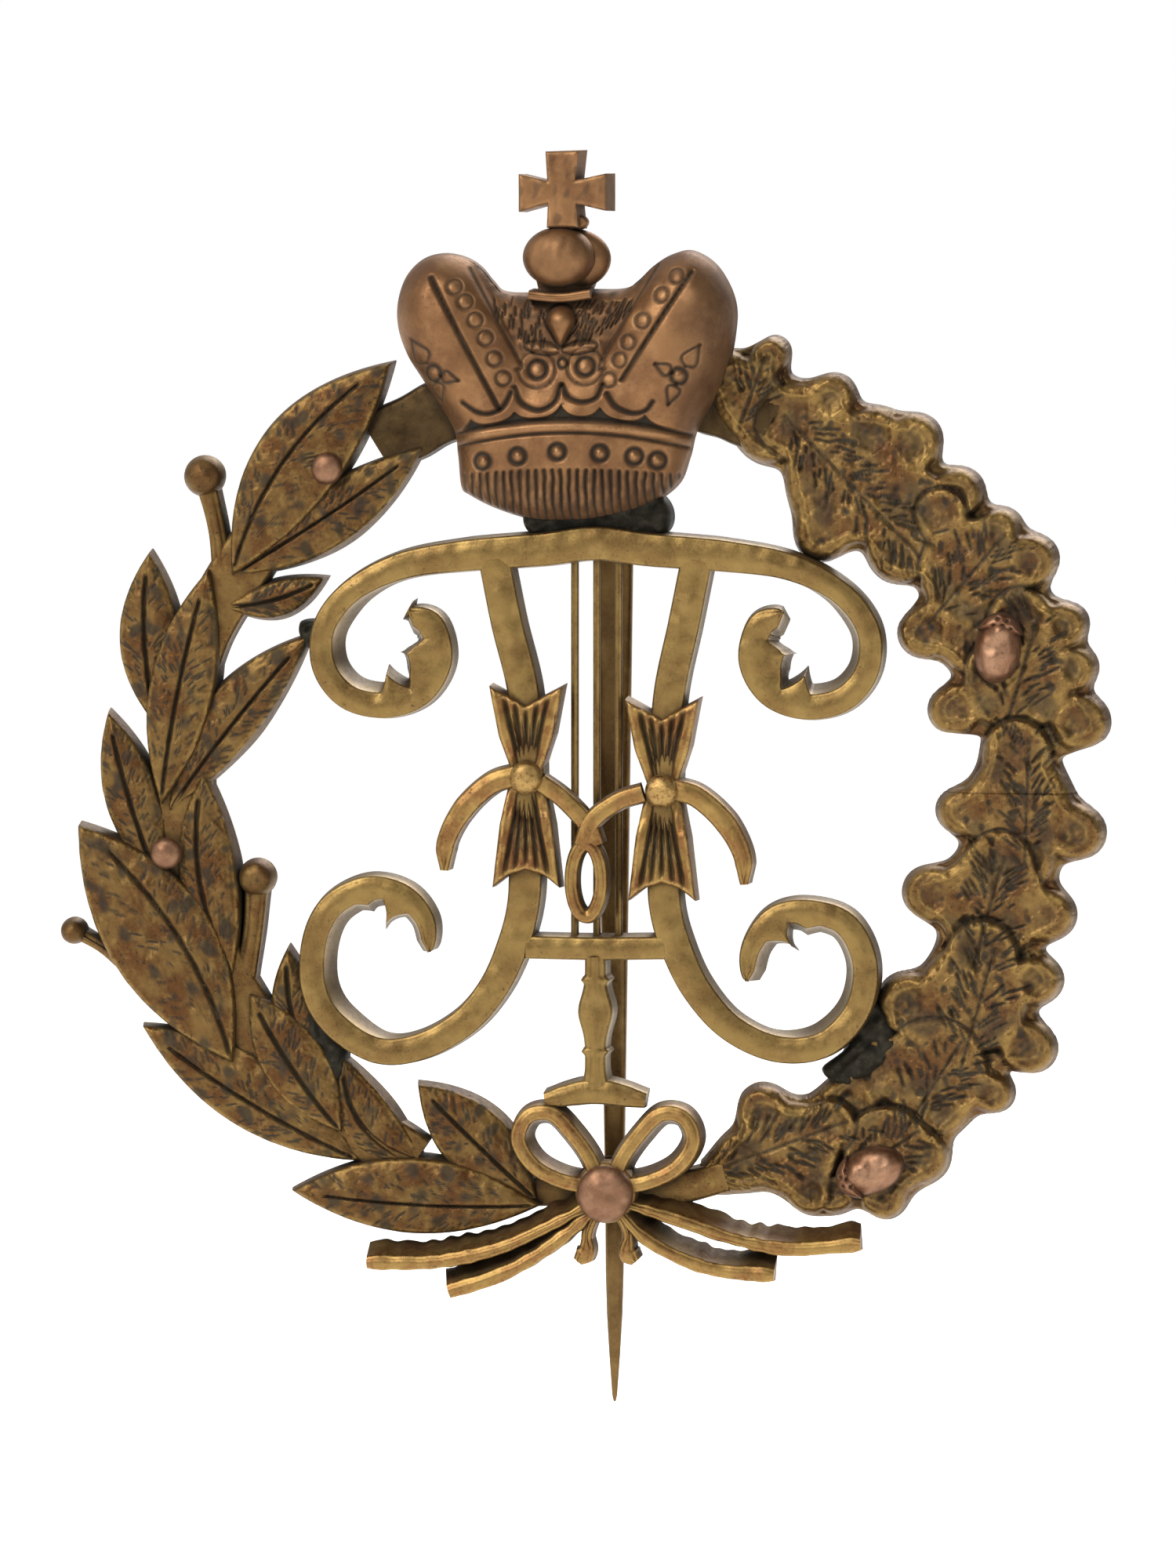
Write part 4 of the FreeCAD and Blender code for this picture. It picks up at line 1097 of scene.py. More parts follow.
@dataclass
class Crown:
    """The crown in half relief, its orb and its cross.

    Attributes:
        axis: The crown's upright axis.
        back: The height of its flat back above the cap.
        outline: Its silhouette, clockwise from the left end of the circlet's lower edge.
        bands: The beaded bands, as the thick groove outside and the edge inside, each top to bottom.
        beads: The rings along each band, from the top.
        scallops: The festoons above the circlet.
        spikes: The dark points between the festoons and the circlet, each as its place and height.
        jewels: The rings round the circlet.
    """

    axis: float = -1.1
    back: float = 1.4
    middle: Point = (-1.1, 18.4)
    outline: Sequence[Point] = (
        (-6.1, 14.5), (-6.25, 16.0), (-6.5, 17.3), (-7.9, 19.5), (-8.65, 20.7), (-9.1, 22.0), (-9.1, 23.2),
        (-8.7, 24.35), (-7.9, 25.15), (-6.9, 25.42), (-5.9, 25.25), (-5.15, 24.8), (-4.55, 24.1),
        (-4.0, 23.62),
        (-2.6, 23.55), (-0.3, 23.7), (1.55, 23.75), (2.3, 24.2), (3.1, 24.95), (3.9, 25.4), (4.8, 25.55),
        (5.8, 25.0), (6.5, 24.0), (6.85, 22.9), (6.8, 21.7), (6.5, 20.2), (5.9, 18.7), (5.0, 17.2),
        (4.65, 15.9),
        (4.1, 14.6), (2.6, 13.6), (0.3, 13.0), (-1.3, 12.9), (-2.8, 12.98), (-4.5, 13.5), (-5.7, 14.1))
    bands: Sequence[tuple[Point, Point, Point, Point]] = (
        ((-7.32, 24.33), (-4.12, 18.17), (-5.6, 24.75), (-3.23, 20.54)),
        ((4.98, 24.63), (1.67, 19.54), (3.3, 24.95), (0.74, 20.54)))
    beads: Sequence[Sequence[Point]] = (
        ((-6.2, 23.92), (-5.68, 23.22), (-5.2, 22.36), (-4.72, 21.51), (-4.31, 20.54), (-3.9, 19.61)),
        ((4.27, 24.44), (3.57, 23.55), (2.67, 22.33), (1.97, 21.32), (1.56, 20.47), (1.04, 19.54)))
    scallops: Sequence[Sequence[Point]] = (
        ((-5.84, 18.47), (-5.2, 18.05), (-4.6, 17.94), (-3.95, 18.25), (-3.55, 18.95)),
        ((-3.4, 19.2), (-3.05, 18.45), (-2.23, 18.12), (-1.5, 18.5), (-1.22, 19.3)),
        ((-1.15, 19.3), (-0.85, 18.75), (-0.2, 18.5), (0.45, 18.7), (0.75, 19.3)),
        ((0.97, 18.9), (1.4, 18.3), (2.16, 17.98), (2.8, 18.1), (3.16, 18.53)))
    spikes: Sequence[Point] = ((-5.45, 0.44), (-3.38, 0.44), (-1.19, 0.62), (0.65, 0.56), (2.78, 0.46))
    jewels: Sequence[Point] = ((-4.94, 15.68), (-3.23, 15.94), (-1.34, 16.16), (0.67, 16.09), (2.27, 15.94),
                               (3.34, 15.75))
    flute_pitch: float = 0.39
    cross_middle: Point = (-1.18, 28.43)
    orb_middle: Point = (-1.28, 25.22)

    @staticmethod
    def swell(x: np.ndarray, z: np.ndarray, centre: Point, halves: Point, lean: float) -> np.ndarray:
        """A dome over an oval: the square root of one minus the square of the share of the way out.

        Args:
            x: Places to the right.
            z: Places up.
            centre: The oval's middle.
            halves: Its half-width and half-height.
            lean: How far it leans, in degrees.

        Returns:
            The dome's height as a share of its greatest.
        """
        turn = math.radians(lean)
        along = (x - centre[0]) * math.cos(turn) - (z - centre[1]) * math.sin(turn)
        up = (x - centre[0]) * math.sin(turn) + (z - centre[1]) * math.cos(turn)
        return np.sqrt(np.clip(1.0 - (along / halves[0]) ** 2 - (up / halves[1]) ** 2, 0.0, 1.0))

    def model(self, front: Relief) -> None:
        """Models the barrel of the circlet, the two puffed lobes and the sunk panel between them.

        Args:
            front: The front to work.
        """
        x, z = front.x, front.z
        barrel = 3.1 * np.sqrt(np.clip(1.0 - ((x - self.axis) / 6.9) ** 2, 0.05,
                                       1.0)) * (1 - 0.35 * step(z, 17.0, 22.0))
        left = 3.5 * self.swell(x, z, (-6.3, 21.3), (3.6, 6.0), -24.0)
        right = 3.5 * self.swell(x, z, (4.15, 21.3), (3.6, 6.0), 24.0)
        body = 0.35 * np.log(np.exp(barrel / 0.35) + np.exp(left / 0.35) + np.exp(right / 0.35))
        sunk = np.ones_like(x)
        for (_, _, top, low), side in zip(self.bands, (1.0, -1.0)):
            run = np.array(low) - np.array(top)
            aside = ((x - top[0]) * run[1] - (z - top[1]) * run[0]) / np.linalg.norm(run)
            sunk *= step(-side * aside, 0.02, 0.3)
        sunk *= step(z, 20.1, 20.7)
        body = body * (1 - sunk) + (2.35 - 0.02 * (z - 20)) * sunk
        front.height += self.back + body * (0.3 + 0.7 * arch(front.inset / 1.5))
        front.height += 0.02 * unevenness(x, z, 1.6, 3)
        front.patina_and_shade = np.maximum(front.patina_and_shade, 0.5 * sunk * (1 - step(x, 2.3, 3.5))
                                  * (0.6 + 0.4 * unevenness(x, z, 0.6, 8)))

    def engrave(self, front: Relief) -> None:
        """Cuts the bands, beads, scallops, jewels, flowers and flutes, and paints shade on the right side.

        Args:
            front: The front to work.
        """
        x, z = front.x, front.z
        for (top, low, inner_top, inner_low), beads in zip(self.bands, self.beads):
            front.line([top, ((top[0] + low[0]) / 2, (top[1] + low[1]) / 2), low], 0.11, 0.24)
            front.line([inner_top, inner_low, (inner_low[0] * 0.93 + low[0] * 0.07, inner_low[1] - 0.5)],
                       0.09, 0.12, 0.8)
            for bead in beads:
                front.ring(bead, 0.34, 0.075, 0.1, 0.03, 0.75)
        for line in self.scallops:
            front.line(line, 0.11, 0.2)
        for centre in ((-2.34, 20.02), (-0.07, 20.17)):
            front.ring(centre, 0.42, 0.1, 0.14, 0.08)
            front.ring(centre, 0.86, 0.07, 0.08, 0.0, 0.6)
        front.ring((-1.15, 20.32), 0.22, 0.08, 0.1, 0.04)
        for centre, petals in (((-7.21, 19.84), ((-8.3, 21.4), (-6.0, 19.5), (-6.9, 18.5))),
                               ((4.42, 19.73), ((5.4, 21.2), (3.3, 20.3), (3.9, 18.4)))):
            front.ring(centre, 0.36, 0.12, 0.16, 0.08, 0.95)
            for petal in petals:
                tip, root = np.array(petal), np.array(centre)
                across = np.array([root[1] - tip[1], tip[0] - root[0]]) * 0.22
                for side in (-1, 1):
                    front.line([tuple(root + (tip - root) * 0.3), tuple((root + tip) / 2 + side * across),
                                petal],
                               0.085, 0.1, 0.85)
        for centre, lean in (((-2.12, 21.03), -8.0), ((-0.33, 21.06), 8.0)):
            leaf = oval(centre, 0.85, 0.3, lean, 90)
            front.ridge([tuple(leaf[45]), centre, tuple(leaf[0])], 0.2, 0.22, 0.5)
            front.groove(distance_to(x, z, leaf), 0.07, 0.12, 0.9)
        taper = 0.66 * (1 - 0.5 * step(22.4 - z, 0.0, 1.2))
        drop = np.hypot((x + 1.23) / taper, (z - 22.3) / np.where(z > 22.3, 0.8, 1.15))
        front.height += 0.75 * np.sqrt(np.clip(1 - drop ** 2, 0, 1))
        front.groove(drop - 1.08, 0.14, 0.12, 0.9)
        front.patina_and_shade *= step(drop, 0.6, 1.05)
        self.hatch(front)
        ring = z - (16.62 + 0.75 * np.clip(1 - ((x + 0.8) / 5.6) ** 2, 0, 1))
        face = step(x, -6.2, -5.6) * (1 - step(x, 4.1, 4.8))
        crest = 0.1 + sum(rise * np.exp(-np.abs(x - at) / 0.34) for at, rise in self.spikes)
        gap = face * step(ring, 0.26, 0.36) * (1 - step(ring - 0.3 - crest, -0.08, 0.03))
        front.height -= 0.16 * gap
        front.patina_and_shade = np.maximum(front.patina_and_shade, 0.95 * gap)
        front.bead(ring, 0.2, 0.14, 0.6)
        for place, width in ((0.3, 0.1), (-0.32, 0.08)):
            front.groove(ring - place, width, 0.14, 0.9)
        for jewel in self.jewels:
            front.ring(jewel, 0.36, 0.12, 0.16, 0.12)
        top = 15.15 + 0.25 * np.clip(1 - ((x + 0.8) / 4.8) ** 2, 0, 1)
        wave = 0.5 + 0.5 * np.cos(2 * math.pi * (x + 0.02 * unevenness(x, z, 0.9, 2)) / self.flute_pitch)
        flutes = face * (1 - step(z, top - 0.12, top + 0.06)) * wave ** 2
        front.height -= 0.17 * flutes
        # Painted shade: the crown's right side is darkened, as if turned away from the light.
        front.patina_and_shade = np.maximum(front.patina_and_shade, 0.34 * step(x, 3.2, 6.4))
        shade = 0.4 * face * (1 - step(z, top - 0.2, top + 0.1)) * (0.7 + 0.3 * unevenness(x, z, 0.5, 9))
        front.patina_and_shade = np.maximum(front.patina_and_shade, np.maximum(0.95 * flutes, shade))

    @staticmethod
    def hatch(front: Relief) -> None:
        """Cuts rows of short upright strokes over the panel, slanting on the right.

        Args:
            front: The front to work.
        """
        draw = np.random.default_rng(31)
        count = 230
        starts = np.stack([draw.uniform(-4.6, 2.2, count), draw.uniform(21.5, 23.5, count)], axis=1)
        lean = np.where(starts[:, 0] > -0.6, 0.45, 0.05) + draw.uniform(-0.12, 0.12, count)
        length = draw.uniform(0.3, 0.7, count)
        ends = starts - np.stack([np.sin(lean) * length, np.cos(lean) * length], axis=1)
        clear = (np.abs(starts[:, 0] + 1.23) > 0.75) & (starts[:, 1] - 21.3 > np.abs(starts[:, 0] + 1.2)
                                                        * 0.75 - 0.9)
        front.strokes(starts[clear], ends[clear], 0.055, 0.12, 0.9)

    def body(self) -> Shell:
        """The crown's body.

        Returns:
            The crown.
        """
        def top(front: Relief) -> None:
            """Models and then engraves the front."""
            self.model(front)
            self.engrave(front)

        edge = smooth(self.outline, 720, closed=True)
        return relief(edge, top, self.back, rings=120, centre=self.middle, flare=0.1, foot=0.3)

    def cross(self) -> Shell:
        """The cross: four arms that flare, sawn from plate, with thick walls.

        Returns:
            The cross.
        """
        halves = [(-0.78, 1.85), (0.8, 1.9), (0.64, 0.5), (2.1, 0.82), (2.1, -0.95), (0.66, -0.62),
                  (0.78, -1.75),
                  (-0.72, -1.75), (-0.68, -0.62), (-2.05, -1.0), (-2.05, 0.8), (-0.7, 0.46)]
        edge = evenly(np.array(halves) + np.array(self.cross_middle), 300, closed=True)

        def top(front: Relief) -> None:
            """Files the face nearly flat."""
            front.height += 3.72 + 0.16 * arch(front.inset / 0.2) + 0.02 * unevenness(front.x, front.z, 0.9,
                                                                                      4)
            front.wear = np.maximum(front.wear, 0.5 * (1 - step(front.inset, 0.05, 0.3)))
            front.patina_and_shade = np.maximum(front.patina_and_shade,
                                      0.4 * step(unevenness(front.x, front.z, 0.8, 5), 0.2, 1.2))

        return relief(edge, top, 2.2, rings=30, centre=self.cross_middle, flare=0.03, lean=(0.26, 0.0))

    def build(self) -> None:
        """Makes the three pieces of the crown, and the collar under the orb."""
        metal = Metal.CROWN.material()
        pin = turned([(0.34, 2.3), (0.36, 3.0), (0.26, 3.3), (0.03, 3.34)], (-0.42, 26.95), 32, squash=1.2)
        collar = band(smooth([(-2.75, 23.55), (-1.3, 23.42), (0.15, 23.6)], 24), 0.2, 0.24, 4.0, 1.5,
                      bevel=0.16)
        fit(mesh_piece("crown_body_engraved", [self.body(), collar], metal), BADGE, "crown_bronze",
            "crown_body")
        near = [(0.95, 2.6), (1.33, 2.9), (1.42, 3.4), (1.18, 4.2), (0.65, 4.62), (0.03, 4.76)]
        far = [(0.5, 1.45), (1.25, 1.6), (1.42, 2.2), (1.36, 2.8), (0.9, 3.2), (0.03, 3.3)]
        x, z = self.orb_middle
        orb = turned(near, (x - 0.08, z + 0.08), 96, squash=1.2, uneven=0.015)
        knob = turned(far, (x + 0.5, z), 80, squash=1.26, uneven=0.015)
        neck = band(smooth([(x + 0.12, z - 0.7), (x + 0.1, z - 1.5), (x + 0.08, z - 2.2)], 40),
                    np.interp(np.arange(40), [0, 18, 39], [1.45, 1.2, 1.5]),
                    np.interp(np.arange(40), [0, 18, 39], [1.45, 1.25, 1.6]), 2.75, 0.9, bevel=0.3, crown=0.3)
        fit(mesh_piece("crown_orb_domed", [orb, knob, neck], metal), BADGE, "crown_bronze", "crown_orb")
        fit(mesh_piece("crown_cross_sawn", [self.cross(), pin], metal), BADGE, "crown_bronze", "crown_cross")


# ---------------------------------------------------------------- the lyre and its ribbons


@dataclass
class Lyre:
    """The lyre, sawn from brass plate and bent to shape: arms, top bar, cross bar, post and strings.

    Attributes:
        axis: The lyre's middle.
        front: The height of the plate's face.
        back: The height of its back.
        arms: The middle lines of the two uprights, from the top bar to the volute's end.
        scroll: The middle line of the top bar's left half and its volute, from the axis.
    """

    axis: float = 0.3
    front: float = 2.8
    back: float = 0.8
    arms: dict[str, Sequence[Point]] = field(default_factory=lambda: {
        "left": ((-4.5, 11.0), (-3.9, 8.0), (-3.1, 4.6), (-2.9, 0.8), (-3.0, -2.6), (-3.1, -5.2),
                 (-3.6, -7.2),
                 (-4.5, -9.2), (-5.9, -10.9), (-8.0, -12.1), (-10.1, -12.3), (-12.1, -11.1), (-13.1, -9.4),
                 (-13.1, -7.2), (-12.3, -5.5), (-10.6, -4.6), (-8.9, -4.9), (-7.9, -6.0), (-7.6, -7.6)),
        "right": ((5.1, 11.0), (4.5, 8.0), (3.8, 4.6), (3.6, 0.8), (3.6, -2.6), (3.6, -5.2), (4.1, -7.2),
                  (5.1, -9.3), (6.7, -11.1), (8.9, -12.1), (11.1, -11.9), (12.7, -10.3), (13.1, -8.1),
                  (12.2, -6.2), (10.4, -5.6), (8.8, -5.9), (7.8, -7.2), (7.5, -8.9))})
    arm_halves: Sequence[float] = (0.75, 0.75, 0.75, 0.8, 0.75, 0.66, 0.62, 0.6, 0.58, 0.5)
    scroll: Sequence[Point] = ((0.0, 11.8), (-2.5, 11.5), (-6.2, 11.2), (-9.2, 10.7), (-11.6, 9.5),
                               (-12.9, 7.8),
                               (-12.9, 5.9), (-11.8, 4.5), (-10.0, 4.1), (-8.3, 4.7), (-7.4, 6.2),
                               (-7.7, 7.9),
                               (-8.9, 8.6))
    scroll_halves: Sequence[float] = (0.8, 0.78, 0.75, 0.65, 0.55, 0.55, 0.6, 0.62, 0.6, 0.5)
    # The inner half-width near a volute's end, where cusps stand on it: distance from the end, and width.
    arm_cusps: Sequence[Point] = ((0.0, 0.06), (0.5, 0.3), (1.6, 0.42), (2.2, 0.5), (2.7, 1.0), (3.3, 1.6),
                                  (3.5, 1.2),
                                  (4.0, 0.5), (4.5, 0.6), (5.0, 0.82), (5.8, 0.56))
    scroll_cusps: Sequence[Point] = ((0.0, 0.06), (0.5, 0.6), (1.3, 0.75), (1.9, 0.7), (2.3, 1.3),
                                     (2.9, 1.68),
                                     (3.7, 1.45), (4.8, 0.95), (5.3, 0.5), (5.9, 1.0), (6.5, 1.5), (6.7, 1.1),
                                     (7.0, 0.56))
    string_offsets: Sequence[float] = (-1.05, 0.0, 1.05)

    def strap(self, path: Sequence[Point], halves: Sequence[float], cusps: Sequence[Point] = (),
              inner: int = 1) -> Shell:
        """A strap of the plate along a smooth path, which may end in a cusped volute at each end.

        The inner half-width follows the cusps by distance from the nearer end, and the inner wall
        slopes out towards the back, as a cast one does.

        Args:
            path: The middle line.
            halves: Half-widths, at equal steps along it.
            cusps: The inner half-width by distance from the end.
            inner: 1 where the volute's inner side is to the right of the way, or -1.

        Returns:
            The strap.
        """
        line = smooth(path, 520)
        share = np.linspace(0, 1, 520)
        half = np.interp(share, np.linspace(0, 1, len(halves)), halves)
        if not cusps:
            return band(line, half, half, self.front, self.back, bevel=0.2, crown=0.07)
        length = float(np.linalg.norm(np.diff(line, axis=0), axis=1).sum())
        ends = share if halves[0] == halves[-1] else 0 * share
        left = length * np.minimum(1 - share, np.where(ends > 0, share, 1.0))
        far, width = np.array(cusps).T
        cusped = np.where(left < far[-1], np.interp(left, far, width), half)
        plain = half * (0.12 + 0.88 * arch(left / 1.5))
        slope = 0.08 + 0.34 * (1 - step(left, 13.0, 17.0))
        widths, slopes = (plain, cusped), (0.1, slope)
        return band(line, *widths[::inner], self.front, self.back, bevel=0.17, crown=0.1,
                    flare=slopes[::inner])

    def build(self) -> None:
        """Makes the lyre's six pieces."""
        metal = Metal.LYRE.material()
        for word, inner in (("left", 1), ("right", -1)):
            arm = self.strap(self.arms[word], self.arm_halves, self.arm_cusps, inner)
            fit(mesh_piece(f"lyre_arm_{word}_bent", [arm], metal), BADGE, "lyre_brass", f"lyre_arm_{word}")
        path = [(self.axis + x, z) for x, z in self.scroll[:0:-1]] + [(self.axis - x, z) for x,
                                                                      z in self.scroll]
        halves = (*self.scroll_halves[:0:-1], *self.scroll_halves)
        bar = self.strap(path, halves, self.scroll_cusps)
        fit(mesh_piece("lyre_top_bar_bent", [bar], metal), BADGE, "lyre_brass", "lyre_top_bar")
        bar = band(smooth([(-3.0, -7.35), (0.3, -7.4), (3.6, -7.35)], 60), 0.55, 0.55, self.front, self.back,
                   bevel=0.2)
        fit(mesh_piece("lyre_cross_bar_sawn", [bar], metal), BADGE, "lyre_brass", "lyre_cross_bar")
        height = np.linspace(-7.8, -14.1, 120)
        half = 0.5 + 0.33 * np.exp(-((height + 10.4) / 0.95) ** 2) + 0.12 * np.exp(-((height + 13.9)
                                                                                     / 0.5) ** 2)
        half += 0.16 * np.exp(-((height + 8.9) / 0.12) ** 2) + 0.16 * np.exp(-((height + 12.3) / 0.12) ** 2)
        post = band(np.stack([np.full(120, self.axis), height], axis=1), half, half, self.front, self.back,
                    bevel=0.26, crown=0.12)
        foot = self.strap([(self.axis - 2.4, -14.6), (self.axis, -14.2), (self.axis + 2.4, -14.6)],
                          (0.36, 0.5, 0.58, 0.6, 0.58, 0.5, 0.36))
        fit(mesh_piece("lyre_post_turned", [post, foot], metal), BADGE, "lyre_brass", "lyre_post")
        wires = [band(np.stack([np.full(80, self.axis + offset), np.linspace(-6.9, 11.2, 80)], axis=1), 0.17,
                      0.17,
                      1.97, 1.63, bevel=0.14, flare=(0.0, 0.0), crown=0.02) for offset in self.string_offsets]
        fit(mesh_piece("lyre_strings_drawn", wires, metal), BADGE, "lyre_brass", "lyre_strings")


@dataclass
class Ribbons:
    """The bows on the lyre's arms, their knots, and the loop that hangs between them."""

    knots: dict[str, Point] = field(default_factory=lambda: {
        word: Place.of(f"bow_rivet_{word}").middle for word in ("left", "right")})
    knot_radius: float = 0.78
    outline: Sequence[Point] = ((0.0, 3.4), (1.75, 4.35), (1.3, 2.0), (0.72, 0.3), (1.25, -2.2), (1.6, -5.2),
                                (0.85, -4.6),
                                (0.0, -4.35), (-0.85, -4.6), (-1.6, -5.2), (-1.25, -2.2), (-0.72, 0.3),
                                (-1.3, 2.0),
                                (-1.75, 4.35))
    tail: Sequence[Point] = ((0.5, 0.1), (1.7, -0.3), (3.0, -1.5), (3.8, -3.0), (3.9, -4.4))

    def bow(self, word: str) -> list[Shell]:
        """A bow, pinched at its knot and pleated towards its ends, with its hanging tail.

        Args:
            word: Which side: left or right.

        Returns:
            The bow's shells.
        """
        knot = self.knots[word]
        side = -1 if word == "left" else 1
        edge = evenly(np.array(self.outline) + np.array(knot), 340, closed=True)

        def top(front: Relief) -> None:
            """Swells the ribbon away from the knot and cuts the pleats."""
            x, z = front.x - knot[0], front.z - knot[1]
            far = np.hypot(x, z)
            front.height += 2.75 + 0.35 * step(far, 0.6, 2.6) + 0.22 * arch(front.inset / 0.25)
            front.height += 0.03 * unevenness(front.x, front.z, 0.7, side + 4)
            for end, reach_z in ((1, 3.3), (-1, -4.1)):
                spread = np.linspace(-1.05, 1.05, 5)
                starts = np.stack([0.28 * spread, np.full(5, 0.55 * end)], axis=1)
                ends = np.stack([spread, reach_z + 0.5 * np.abs(spread) * end], axis=1)
                front.strokes(starts + knot, ends + knot, 0.1, 0.26, 0.95)
                front.strokes(starts[:4] + 0.12 * end + knot, ends[:4] * 0.8 + (0.24, 0) + knot, 0.05, 0.1,
                              0.7)
            front.wear = np.maximum(front.wear, 0.7 * (1 - step(np.abs(front.inset - 0.13), 0.0, 0.14)))

        bow = relief(edge, top, 0.8, rings=46, centre=knot, flare=0.08)
        path = smooth([(knot[0] + side * x, knot[1] + z) for x, z in self.tail], 90)
        half = np.interp(np.linspace(0, 1, 90), [0, 0.5, 0.85, 1], [0.5, 0.52, 0.42, 0.2])
        return [bow, band(path, half, half, 3.2, 1.6, bevel=0.2, crown=0.1)]

    def knot(self, word: str) -> Shell:
        """A bow's round knot, domed by hand.

        Args:
            word: Which side: left or right.

        Returns:
            The knot.
        """
        radius = self.knot_radius
        dome = [(0.35, 0.8), (0.35, 2.6), (radius * 0.98, 2.95), (radius, 3.2), (radius * 0.85, 3.52),
                (radius * 0.45, 3.72), (0.03, 3.76)]
        return turned(dome, self.knots[word], 56, uneven=0.03, gloss=1.0)

    def loop(self) -> list[Shell]:
        """The hanging loop and the two ends that run up to the bows.

        Returns:
            The loop's shells.
        """
        edge = oval((-0.1, -4.15), 1.72, 0.72, 90.0, 120)
        ring = band(edge, 0.32, 0.3, 3.25, 2.1, bevel=0.16, crown=0.08, loop=True)
        left = band(smooth([(-2.3, 0.5), (-1.2, -0.3), (0.0, -1.6), (0.35, -2.5)], 60), 0.42, 0.42, 3.22, 2.1,
                    bevel=0.18)
        right = band(smooth([(2.6, 0.0), (1.4, -0.4), (0.2, -1.3), (-0.3, -2.5)], 60), 0.42, 0.42, 3.3, 2.1,
                     bevel=0.18)
        return [ring, left, right]

    def build(self) -> None:
        """Makes the five pieces."""
        metal = Metal.RIBBON.material()
        for word in ("left", "right"):
            fit(mesh_piece(f"ribbon_bow_{word}_pleated", self.bow(word), metal), BADGE, "ribbon_brass",
                f"ribbon_bow_{word}")
            fit(mesh_piece(f"bow_rivet_{word}_domed", [self.knot(word)], metal), BADGE, "lyre_brass",
                f"bow_rivet_{word}")
        fit(mesh_piece("ribbon_loop_hanging", self.loop(), metal), BADGE, "ribbon_brass", "ribbon_loop")


@dataclass
class Tie:
    """The tied ribbon at the foot of the wreath: two loops, four ends, two curls and a rivet."""

    rivet: Point = field(default_factory=lambda: Place.of("tie_rivet").middle)
    front: float = 2.9
    back: float = 1.1
    # A loop's middle line on the left of the rivet; the right one mirrors it.
    loop: Sequence[Point] = ((-0.5, 0.45), (-1.9, 0.5), (-3.4, 1.25), (-4.15, 2.5), (-3.7, 3.6), (-2.6, 3.75),
                             (-1.6, 2.8), (-0.7, 1.5))
    # The upper edge of each end leans back, so that it shows as a dark wall above the bright face.
    ends: Sequence[tuple[Sequence[Point], int]] = (
        (((0.2, -19.5), (-2.2, -20.75), (-4.5, -21.75), (-7.4, -22.35), (-10.6, -22.4)), 1),
        (((0.3, -19.8), (-1.1, -21.0), (-2.8, -22.2), (-4.6, -23.1), (-6.7, -23.75)), 1),
        (((1.4, -19.4), (4.3, -20.3), (6.9, -21.15), (9.5, -21.6), (12.9, -21.35)), -1),
        (((1.4, -19.8), (2.6, -21.1), (4.4, -22.1), (6.2, -22.65), (8.8, -22.85)), -1))
    curls: Sequence[Sequence[Point]] = (((0.3, -19.8), (-0.1, -20.9), (-0.15, -21.8), (-0.55, -22.3)),
                                        ((1.35, -19.8), (1.85, -20.9), (1.8, -21.8), (2.2, -22.3)))

    def shells(self) -> list[Shell]:
        """The ribbon's loops, ends, curls and the hub that they meet in.

        Returns:
            The loops, ends and curls.
        """
        made = [turned([(1.3, 1.1), (1.5, 1.3), (1.45, 2.6), (1.2, 2.85), (0.4, 2.88)], self.rivet, 56,
                       uneven=0.03)]
        for side in (1, -1):
            line = smooth(np.array(self.loop) * (side, 1.0) + self.rivet, 170, closed=True)
            made.append(band(line, 0.36, 0.36, self.front, self.back, bevel=0.15,
                             flare=(0.14, 0.3)[::side], crown=0.09, loop=True, gloss=0.6))
        for path, side in self.ends:
            line = smooth(path, 150)
            rough = unevenness(line[:, 0], line[:, 1], 1.1, 70)
            half = np.interp(np.linspace(0, 1, 150), [0, 0.25, 0.97, 1],
                             [0.22, 0.3, 0.36, 0.3]) + 0.025 * rough
            slope = 0.58 + 0.06 * rough
            made.append(band(line, half, half, self.front - 0.1, self.back, bevel=0.13,
                             flare=(slope, 0.08)[::-side], crown=0.1, gloss=0.6))
        for path in self.curls:
            half = np.interp(np.linspace(0, 1, 60), [0, 0.55, 0.85, 1], [0.3, 0.26, 0.46, 0.25])
            made.append(band(smooth(path, 60), half, half, self.front - 0.3, self.back, bevel=0.2, crown=0.1))
        return made

    def build(self) -> None:
        """Makes the ribbon and the rivet."""
        fit(mesh_piece("ribbon_tie_folded", self.shells(), Metal.RIBBON.material()), BADGE, "ribbon_brass",
            "ribbon_tie")
        head = [(0.6, -0.4), (0.6, 2.6), (1.25, 2.9), (1.34, 3.1), (1.27, 3.42), (1.0, 3.7), (0.55, 3.84),
                (0.03, 3.88)]
        fit(mesh_piece("tie_rivet_domed", [turned(head, self.rivet, 80, uneven=0.025)],
                       Metal.COPPER.material()),
            BADGE, "copper", "tie_rivet")


